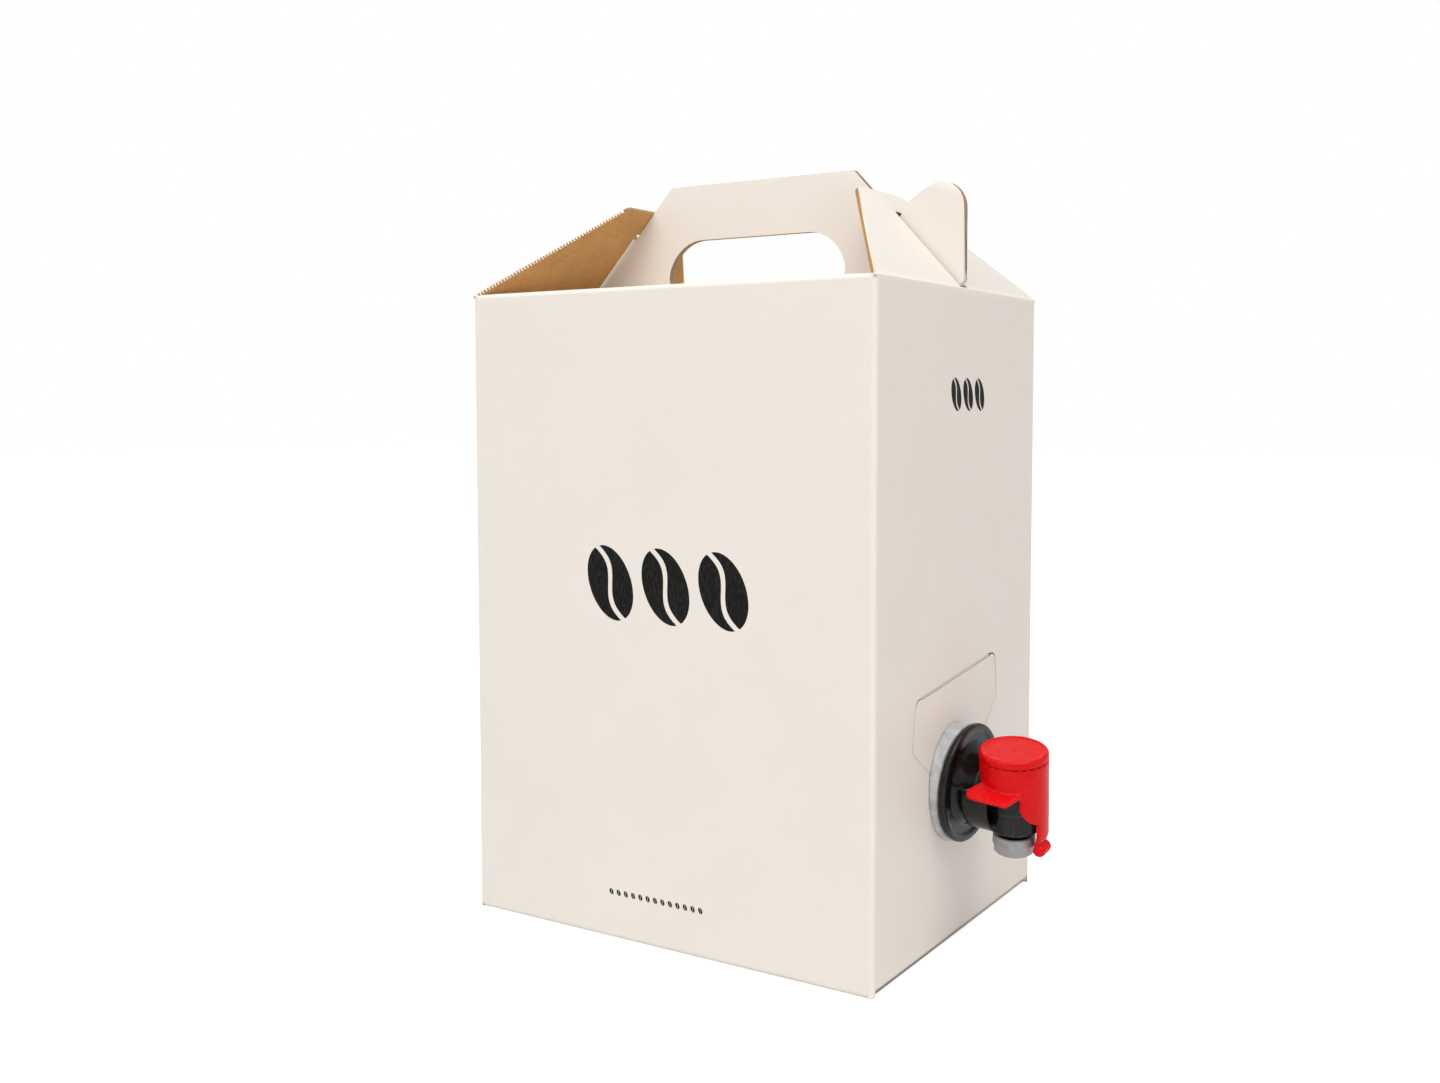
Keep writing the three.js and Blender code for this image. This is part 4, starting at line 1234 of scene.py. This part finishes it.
    def teeth(self, side: FlapSide, flap: Piece) -> Piece:
        """Sets the fine teeth of the serrated cut along a flap's two sloping edges.

        Args:
            side: which flap.
            flap: the dressed flap.

        Returns:
            The rows of teeth.
        """
        across, up = self.dresser.fold_place
        slope = math.radians(self.flap_slope)
        rise = Vector((-side.value * math.cos(slope), 0, math.sin(slope)))
        outside = Vector((side.value * math.sin(slope), 0, math.cos(slope)))
        fold = Vector((side.value * across, 0, up)) * MM
        near, far = self.crease_band
        tooth = self.tooth()
        rows = []
        for hand in (-1, 1):
            side_way = Vector((0, hand, 0))
            sheet = Matrix((side_way, rise, side_way.cross(rise)))
            points = [sheet @ (vertex.co - fold) / MM for vertex in flap.data.vertices]
            low = max((p for p in points if near < p.y < far), key=lambda p: p.x)
            crest = [p for p in points if p.y > self.crest_start]
            high = max(crest, key=lambda p: p.xy.dot(self.crest_way))
            layers = [p.z for p in points if p.y > self.sheet_start]
            along = Vector((high.x - low.x, high.y - low.y, 0))
            length = along.length - 2 * self.tooth_end
            along.normalize()
            out = Vector((along.y, -along.x, 0))
            inside = -math.copysign(self.tooth_thickness / 2, sheet.row[2].dot(outside))
            middle = (low + high) / 2
            middle.z = (min(layers) + max(layers)) / 2 + inside
            place = matrix_of((along, out, along.cross(out), middle * MM))
            rows.append(self.tooth_row(tooth, matrix_of((*sheet, fold)) @ place, length))
        bpy.data.objects.remove(tooth)
        name = side.name.lower()
        liner = self.dresser.material(BoardFace.LINER)
        piece = link(f"flap_teeth_{name}", joined(f"flap_teeth_{name}", rows, liner))
        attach(piece, f"flap_{name}")
        return piece

    def build(self) -> None:
        """Builds the board pieces and reports them."""
        log.info("carton: %s", self.body().name)
        log.info("carton: %s", self.door_lips().name)
        log.info("carton: %s", self.fold_beads().name)
        log.info("carton: %s", [piece.name for piece in self.foot_corners()])
        for side in FlapSide:
            flap = self.flap(side)
            log.info("carton: %s and %s", flap.name, self.teeth(side, flap).name)


@dataclass(frozen=True)
class BeanRow:
    """A printed row of beans. The front panel is None; its scale is that of one bean."""

    name: str
    panel: FlapSide | None
    middle: Pair
    count: int
    length: float
    scale: float


@dataclass
class Prints:
    """The ink on the coated board: a row of three beans on two panels, and a row of small ones."""

    proud: float = 0.03
    sunk: float = 0.02
    bean_length: float = 30.0
    bean_width: float = 19.5
    bean_parts: int = 28
    crease_gap: float = 2.1
    crease_swing: float = 0.12
    crease_share: float = 0.487
    crease_lip: float = 0.9
    tilt: float = 24.0
    rows: tuple[BeanRow, ...] = (
        BeanRow("front_mark", None, (3.4, 138.0), 3, 51.0, 1.0),
        BeanRow("side_mark", FlapSide.RIGHT, (3.8, 209.5), 3, 22.44, 0.44),
        BeanRow("foot_row", None, (-1.8, 18.2), 13, 41.0, 2.6 / 30.0),
    )
    ink: Material = field(default_factory=lambda: InkFinish().material())

    def bean_outline(self, hand: int) -> list[Vector]:
        """Draws one half of a bean, with its long axis up.

        Args:
            hand: -1 for the left half, 1 for the right half.

        Returns:
            The half's outline.
        """
        outer = []
        inner = []
        gap = self.crease_gap / 2
        for k in range(self.bean_parts + 1):
            turn = math.pi * k / self.bean_parts
            up = math.cos(turn)
            out = math.sin(turn) * self.bean_width / 2
            bend = self.crease_swing * self.bean_width * math.sin(math.pi * up)
            if out > gap * self.crease_lip:
                outer.append(Vector((hand * out, up * self.bean_length / 2, 0)))
            if abs(up) / 2 < self.crease_share:
                inner.append(Vector((bend + hand * gap, up * self.bean_length / 2, 0)))
        return outer + inner[::-1]

    def bean(self) -> Piece:
        """Makes a bean as two thin closed plates, drawn in (x, y) and rising along z.

        Returns:
            The bean.
        """
        shape = bmesh.new()
        for hand in (-1, 1):
            draw_prism(shape, self.bean_outline(hand), Vector((0, 0, self.proud + self.sunk)))
        return link("bean", as_mesh(shape, "bean", self.ink))

    def row(self, plan: BeanRow, bean: Piece) -> Piece:
        """Prints one row of beans.

        Args:
            plan: the row's place and sizes.
            bean: the bean that it repeats.

        Returns:
            The printed row.
        """
        values = {
            "Shape": bean,
            "Count": plan.count,
            "Length": plan.length * MM,
            "Size": plan.scale,
            "Tilt": math.radians(self.tilt),
            "Finish": self.ink,
        }
        piece = grown(plan.name, row_tree(), values)
        piece.data.transform(on_panel(plan.panel, *plan.middle, self.sunk))
        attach(piece, "root")
        return piece

    def build(self) -> None:
        """Builds the prints and reports them."""
        bean = self.bean()
        for plan in self.rows:
            log.info("prints: %s", self.row(plan, bean).name)
        bpy.data.objects.remove(bean)


# Bag


@dataclass
class FilledBag:
    """The filled bag inside, drawn in at its edges and creased."""

    voxel: float = 5.0
    smoothing: int = 4
    crease_depth: float = 1.4
    crease_size: float = 24.0

    def build(self) -> None:
        """Builds the bag and reports it."""
        piece = merged_copy("bag", "filled_film_bag")
        remake(piece, self.voxel, self.smoothing)
        clouds = bpy.data.textures.new("film_creases", "CLOUDS")
        clouds.noise_scale = self.crease_size * MM
        clouds.noise_depth = 3
        creases = piece.modifiers.new("creases", "DISPLACE")
        creases.texture = clouds
        creases.texture_coords = "LOCAL"
        creases.strength = self.crease_depth * MM
        creases.mid_level = 1.0
        settle(piece)
        piece.data.materials.clear()
        piece.data.materials.append(FilmFinish().material())
        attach(piece, "root")
        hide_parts("bag")
        log.info("bag: %s", piece.name)


# Tap


@dataclass
class PressTap:
    """The press tap: its moulded nodes get their finishes, and the tear line its bridges."""

    sharp: float = 35.0
    valve_reach: float = 24.9
    hood_radius: float = 12.8
    hood_margin: float = 0.1
    wall_middle: float = 11.9
    wall_skin: float = 0.3
    bridge_count: int = 26
    bridge_size: Triple = (0.9, 0.9, 0.75)
    bridge_proud: float = 0.02
    fine_voxel: float = 0.3
    body_voxel: float = 0.42
    fine_smoothing: int = 2
    body_smoothing: int = 3
    wing_band: Pair = (2.0, 5.8)
    wing_side: float = 0.5
    wing_corners: tuple[Triple, ...] = (
        (8.4, 8.43, 0), (5.3, 17.9, 1.5), (-13.9, 20.0, 4.2), (-7.3, 9.4, 0)
    )
    wing_parts: int = 12
    wing_root: float = 11.0
    wing_height: float = 6.35
    wing_fall: float = 0.33
    wing_dip: float = 0.075
    wing_edge: float = 0.9
    wing_swell: float = 0.14
    tear_height: float = 14.6
    tear_half: float = 0.3
    tear_depth: float = 0.9
    gate_level: float = 17.0
    gate_radius: float = 0.9
    gate_height: float = 0.3
    strip_start: float = -14.5
    strip_blend: float = 4.0
    strip_shift: Pair = (-1.0, 1.0)
    collar_drop: Pair = (0.5, 1.1)
    flange_back: float = -2.5
    flange_depth: float = 5.5
    flange_start: float = 20.0
    flange_flare: float = 0.8
    flange_sag: Pair = (-1.3, -0.8)

    def place(self) -> Matrix:
        """Works out the tap's own frame from the record's joints.

        Returns:
            The matrix from the tap's frame to the carton's.
        """
        joints = {j["name"]: j for j in frame["joints"]}
        out = Vector(joints["tap_turn"]["axis"]).normalized()
        up = -Vector(joints["valve_press"]["axis"]).normalized()
        left = up.cross(out).normalized()
        return matrix_of((out, left, up, Vector(joints["tap_turn"]["pos_m"])))

    def rounded(self, piece: Piece, node: str, voxel: float, smoothing: int) -> None:
        """Rounds the edges of a copy of one of the tap's nodes, as a mould leaves them.

        Args:
            piece: the copy, which then stands for the node.
            node: the CAD node's name.
            voxel: how finely it is remade.
            smoothing: how often it is smoothed.
        """
        remake(piece, voxel, smoothing)
        settle(piece)
        piece.data.shade_smooth()
        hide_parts(node)

    def wing(self, side: int) -> Mesh:
        """Draws one of the hood's finger wings, which falls towards its tip.

        Args:
            side: -1 or 1, the side of the valve.

        Returns:
            The wing as a closed shell in the valve's frame, in metres.
        """
        outline = rounded_path(self.wing_corners)
        start, end = (math.atan2(self.wing_corners[k][1], self.wing_corners[k][0]) for k in (-1, 0))
        for k in range(1, self.wing_parts):
            angle = start + (end - start) * k / self.wing_parts
            outline.append((self.wall_middle * math.cos(angle), self.wall_middle * math.sin(angle)))
        shape = bmesh.new()
        loops = ([], [])
        for along, out in outline:
            fall = self.wing_dip * along + self.wing_fall * (out - self.wing_root)
            top = self.wing_height - fall
            thick = self.wing_edge + self.wing_swell * (self.wing_corners[2][1] - out)
            for loop, height in zip(loops, (top, top - thick)):
                loop.append(shape.verts.new(Vector((along, side * out, height)) * MM))
        for loop in loops:
            shape.faces.new(loop)
        upper, lower = loops
        for k in range(len(outline)):
            shape.faces.new((upper[k - 1], upper[k], lower[k], lower[k - 1]))
        bmesh.ops.recalc_face_normals(shape, faces=shape.faces)
        return as_mesh(shape, "wing")

    def shape_hood(self, vertex: bpy.types.MeshVertex) -> None:
        """Moves one point of the hood for the tear line, the gate mark and the pull strip.

        Args:
            vertex: the point, in the valve's frame.
        """
        flat = vertex.co.xy / MM
        from_tear = abs(vertex.co.z / MM - self.tear_height)
        if from_tear < self.tear_half and flat.length > self.wall_middle + self.wall_skin:
            vertex.co.xy = flat.normalized() * (self.hood_radius - self.tear_depth) * MM
        if flat.length < self.gate_radius and vertex.co.z > self.gate_level * MM:
            rise = 1 - (flat.length / self.gate_radius) ** 2
            vertex.co.z += self.gate_height * rise * MM
        low = limited((self.strip_start - vertex.co.z / MM) / self.strip_blend)
        vertex.co += Vector((self.strip_shift[0], 0, self.strip_shift[1])) * low * MM

    def hood(self) -> Piece:
        """Makes the tamper hood with drooping wings, a tear line and a gate mark.

        Returns:
            The hood.
        """
        piece = merged_copy("tamper_hood", "moulded_hood")
        valve = self.place() @ Matrix.Translation((self.valve_reach * MM, 0, 0))
        piece.data.transform(valve.inverted())
        low, high = (level * MM for level in self.wing_band)
        for vertex in piece.data.vertices:
            flat = vertex.co.xy
            past = flat.length > (self.hood_radius + self.hood_margin) * MM
            if low < vertex.co.z < high and past and abs(flat.y) > self.wing_side * flat.length:
                vertex.co.xy = flat.normalized() * self.wall_middle * MM
        shape = bmesh.new()
        for mesh in (piece.data, self.wing(-1), self.wing(1)):
            shape.from_mesh(mesh)
        shape.to_mesh(piece.data)
        shape.free()
        self.rounded(piece, "tamper_hood", self.fine_voxel, self.fine_smoothing)
        for vertex in piece.data.vertices:
            self.shape_hood(vertex)
        piece.data.transform(valve)
        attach(piece, "tap")
        return piece

    def gland(self) -> Piece:
        """Makes the gland, whose outer flange flares towards the carton.

        Returns:
            The gland.
        """
        piece = merged_copy("gland", "moulded_gland")
        self.rounded(piece, "gland", self.body_voxel, self.fine_smoothing)
        place = self.place()
        back = place.inverted()
        for vertex in piece.data.vertices:
            local = (back @ vertex.co) / MM
            out = Vector((local.y, local.z))
            if out.length > self.flange_start and local.x > self.flange_back:
                share = limited((self.flange_depth - local.x) / self.flange_depth)
                wide = out * (1 + self.flange_flare * share / out.length)
                wide += Vector(self.flange_sag) * share
                vertex.co = place @ (Vector((local.x, wide.x, wide.y)) * MM)
        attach(piece, "root")
        return piece

    def collar(self) -> Piece:
        """Makes the outlet's collar, set a little lower on its nozzle.

        Returns:
            The collar.
        """
        piece = merged_copy("outlet_collar", "cloudy_collar")
        place = self.place()
        piece.data.transform(place.inverted())
        heights = [vertex.co.z for vertex in piece.data.vertices]
        low, high = min(heights), max(heights)
        below, above = self.collar_drop
        for vertex in piece.data.vertices:
            share = (vertex.co.z - low) / (high - low)
            vertex.co.z -= (below * (1 - share) + above * share) * MM
        piece.data.transform(place)
        soften(piece, self.sharp)
        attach(piece, "tap")
        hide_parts("outlet_collar")
        return piece

    def body(self) -> Piece:
        """Makes the tap's body with rounded edges.

        Returns:
            The body.
        """
        piece = merged_copy("tap_body", "moulded_tap")
        self.rounded(piece, "tap_body", self.body_voxel, self.body_smoothing)
        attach(piece, "tap")
        return piece

    def bridges(self, plastic: Material) -> Piece:
        """Sets the small bridges across the hood's tear line.

        Args:
            plastic: the hood's material.

        Returns:
            The ring of bridges.
        """
        radius = self.hood_radius - self.bridge_size[0] / 2 + self.bridge_proud
        values = {
            "Count": self.bridge_count,
            "Radius": radius * MM,
            "Size": tuple(size * MM for size in self.bridge_size),
            "Finish": plastic,
        }
        piece = grown("tear_bridges", ring_tree(), values)
        along = Matrix.Translation((self.valve_reach * MM, 0, self.tear_height * MM))
        piece.data.transform(self.place() @ along)
        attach(piece, "tap")
        return piece

    def build(self) -> None:
        """Dresses the tap's nodes, adds the bridges and reports them."""
        red = RED_PLASTIC.material()
        seal = SOFT_SEAL.material()
        dressed = (
            (self.body(), BLACK_PLASTIC.material()),
            (self.hood(), red),
            (self.gland(), NATURAL_PLASTIC.material()),
            (self.collar(), CLEAR_PLASTIC.material()),
            (frame["nodes"]["press_button"], seal),
            (frame["nodes"]["valve_seal"], seal),
            (frame["nodes"]["valve_stem"], STEM_PLASTIC.material()),
        )
        for piece, material in dressed:
            piece.data.materials.clear()
            piece.data.materials.append(material)
            log.info("tap: %s in %s", piece.name, material.name)
        log.info("tap: %s", self.bridges(red).name)


# Studio


@dataclass
class Studio:
    """The camera, the white floor, the world and the soft lamps. Floor and lamps are in metres."""

    camera_place: Triple = (308.7, -514.6, 204.7)
    camera_yaw: float = -32.593
    camera_pitch: float = -3.373
    camera_roll: float = -0.072
    sensor: float = 36.0
    lens: float = 36.16
    shift_up: float = -0.0339
    clip: Pair = (0.01, 50.0)
    world_colour: Colour = (1.0, 0.995, 0.985)
    world_level: float = 0.55
    floor_colour: Colour = (0.86, 0.86, 0.86)
    floor_glow: float = 0.6
    floor_size: float = 12.0
    floor_drop: float = 0.0001
    aim: Triple = (0, 0, 0.14)
    lamps: tuple[tuple, ...] = (
        ("key", (-0.2, -1.5, 1.3), 1.1, 9.4),
        ("top", (0.5, -0.35, 1.6), 1.0, 14),
        ("side", (1.6, -0.4, 0.9), 0.9, 0.9),
    )

    def camera(self) -> None:
        """Sets the camera at the photographed viewpoint."""
        data = bpy.data.cameras.new("camera")
        data.sensor_fit = "HORIZONTAL"
        data.sensor_width = self.sensor
        data.lens = self.lens
        data.shift_y = self.shift_up
        data.clip_start, data.clip_end = self.clip
        yaw = math.radians(self.camera_yaw)
        pitch = math.radians(self.camera_pitch)
        level = Vector((math.sin(yaw), math.cos(yaw), 0)) * math.cos(pitch)
        forward = level + Vector((0, 0, math.sin(pitch)))
        right = forward.cross(Vector((0, 0, 1))).normalized()
        place = Vector(self.camera_place) * MM
        roll = Matrix.Rotation(math.radians(self.camera_roll), 4, "Z")
        camera = bpy.data.objects.new("camera", data)
        camera.matrix_world = matrix_of((right, right.cross(forward), -forward, place)) @ roll
        bpy.context.scene.collection.objects.link(camera)
        bpy.context.scene.camera = camera

    def seen(self, tree: Tree) -> Socket:
        """Gives 1 for what is looked at, also through a clear piece, and 0 for the rest."""
        path = add_node(tree, "ShaderNodeLightPath").outputs
        return calc(tree, "MAXIMUM", path["Is Camera Ray"], path["Is Transmission Ray"])

    def world(self) -> None:
        """Lights the world plainly and shows it white to the camera."""
        world = bpy.data.worlds.new("studio")
        world.use_nodes = True
        tree = world.node_tree
        tree.nodes.clear()
        light, shown = (
            add_node(tree, "ShaderNodeBackground", {"Color": (*colour, 1.0), "Strength": level})
            for colour, level in ((self.world_colour, self.world_level), ((1.0, 1.0, 1.0), 1.0))
        )
        ends = {0: self.seen(tree), 1: light.outputs[0], 2: shown.outputs[0]}
        mix = add_node(tree, "ShaderNodeMixShader", ends)
        add_node(tree, "ShaderNodeOutputWorld", {"Surface": mix.outputs[0]})
        bpy.context.scene.world = world

    def floor(self) -> None:
        """Lays the white floor, which keeps the carton's shadow."""
        material, tree, _ = new_material("white_floor")
        diffuse = add_node(tree, "ShaderNodeBsdfDiffuse", {"Color": (*self.floor_colour, 1.0)})
        glow = calc(tree, "MULTIPLY", self.seen(tree), self.floor_glow)
        white = {"Color": (1.0, 1.0, 1.0, 1.0), "Strength": glow}
        lit = add_node(tree, "ShaderNodeEmission", white)
        both = {0: diffuse.outputs[0], 1: lit.outputs[0]}
        whole = add_node(tree, "ShaderNodeAddShader", both)
        add_node(tree, "ShaderNodeOutputMaterial", {"Surface": whole.outputs[0]})
        shape = bmesh.new()
        bmesh.ops.create_grid(shape, x_segments=2, y_segments=2, size=self.floor_size / 2)
        mesh = as_mesh(shape, "floor", material)
        mesh.transform(Matrix.Translation((0, 0, -self.floor_drop)))
        link("floor", mesh)

    def lamp(self, name: str, place: Triple, size: float, watts: float) -> None:
        """Adds a soft square lamp that points at the carton.

        Args:
            name: the lamp's name.
            place: where it hangs.
            size: the side of the square.
            watts: its power.
        """
        data = bpy.data.lights.new(name, "AREA")
        data.size = size
        data.energy = watts
        lamp = bpy.data.objects.new(name, data)
        turn = (Vector(self.aim) - Vector(place)).to_track_quat("-Z", "Y")
        lamp.matrix_world = Matrix.Translation(place) @ turn.to_matrix().to_4x4()
        bpy.context.scene.collection.objects.link(lamp)

    def build(self) -> None:
        """Sets the stage and reports it."""
        bpy.context.scene.view_settings.view_transform = "Standard"
        self.camera()
        self.world()
        self.floor()
        for settings in self.lamps:
            self.lamp(*settings)
        log.info("studio: camera, world, floor and lamps")


def main() -> None:
    """Builds the studio, the carton, its prints, its bag and its tap."""
    Studio().build()
    Carton().build()
    Prints().build()
    FilledBag().build()
    PressTap().build()


if __name__ == "__main__":
    main()
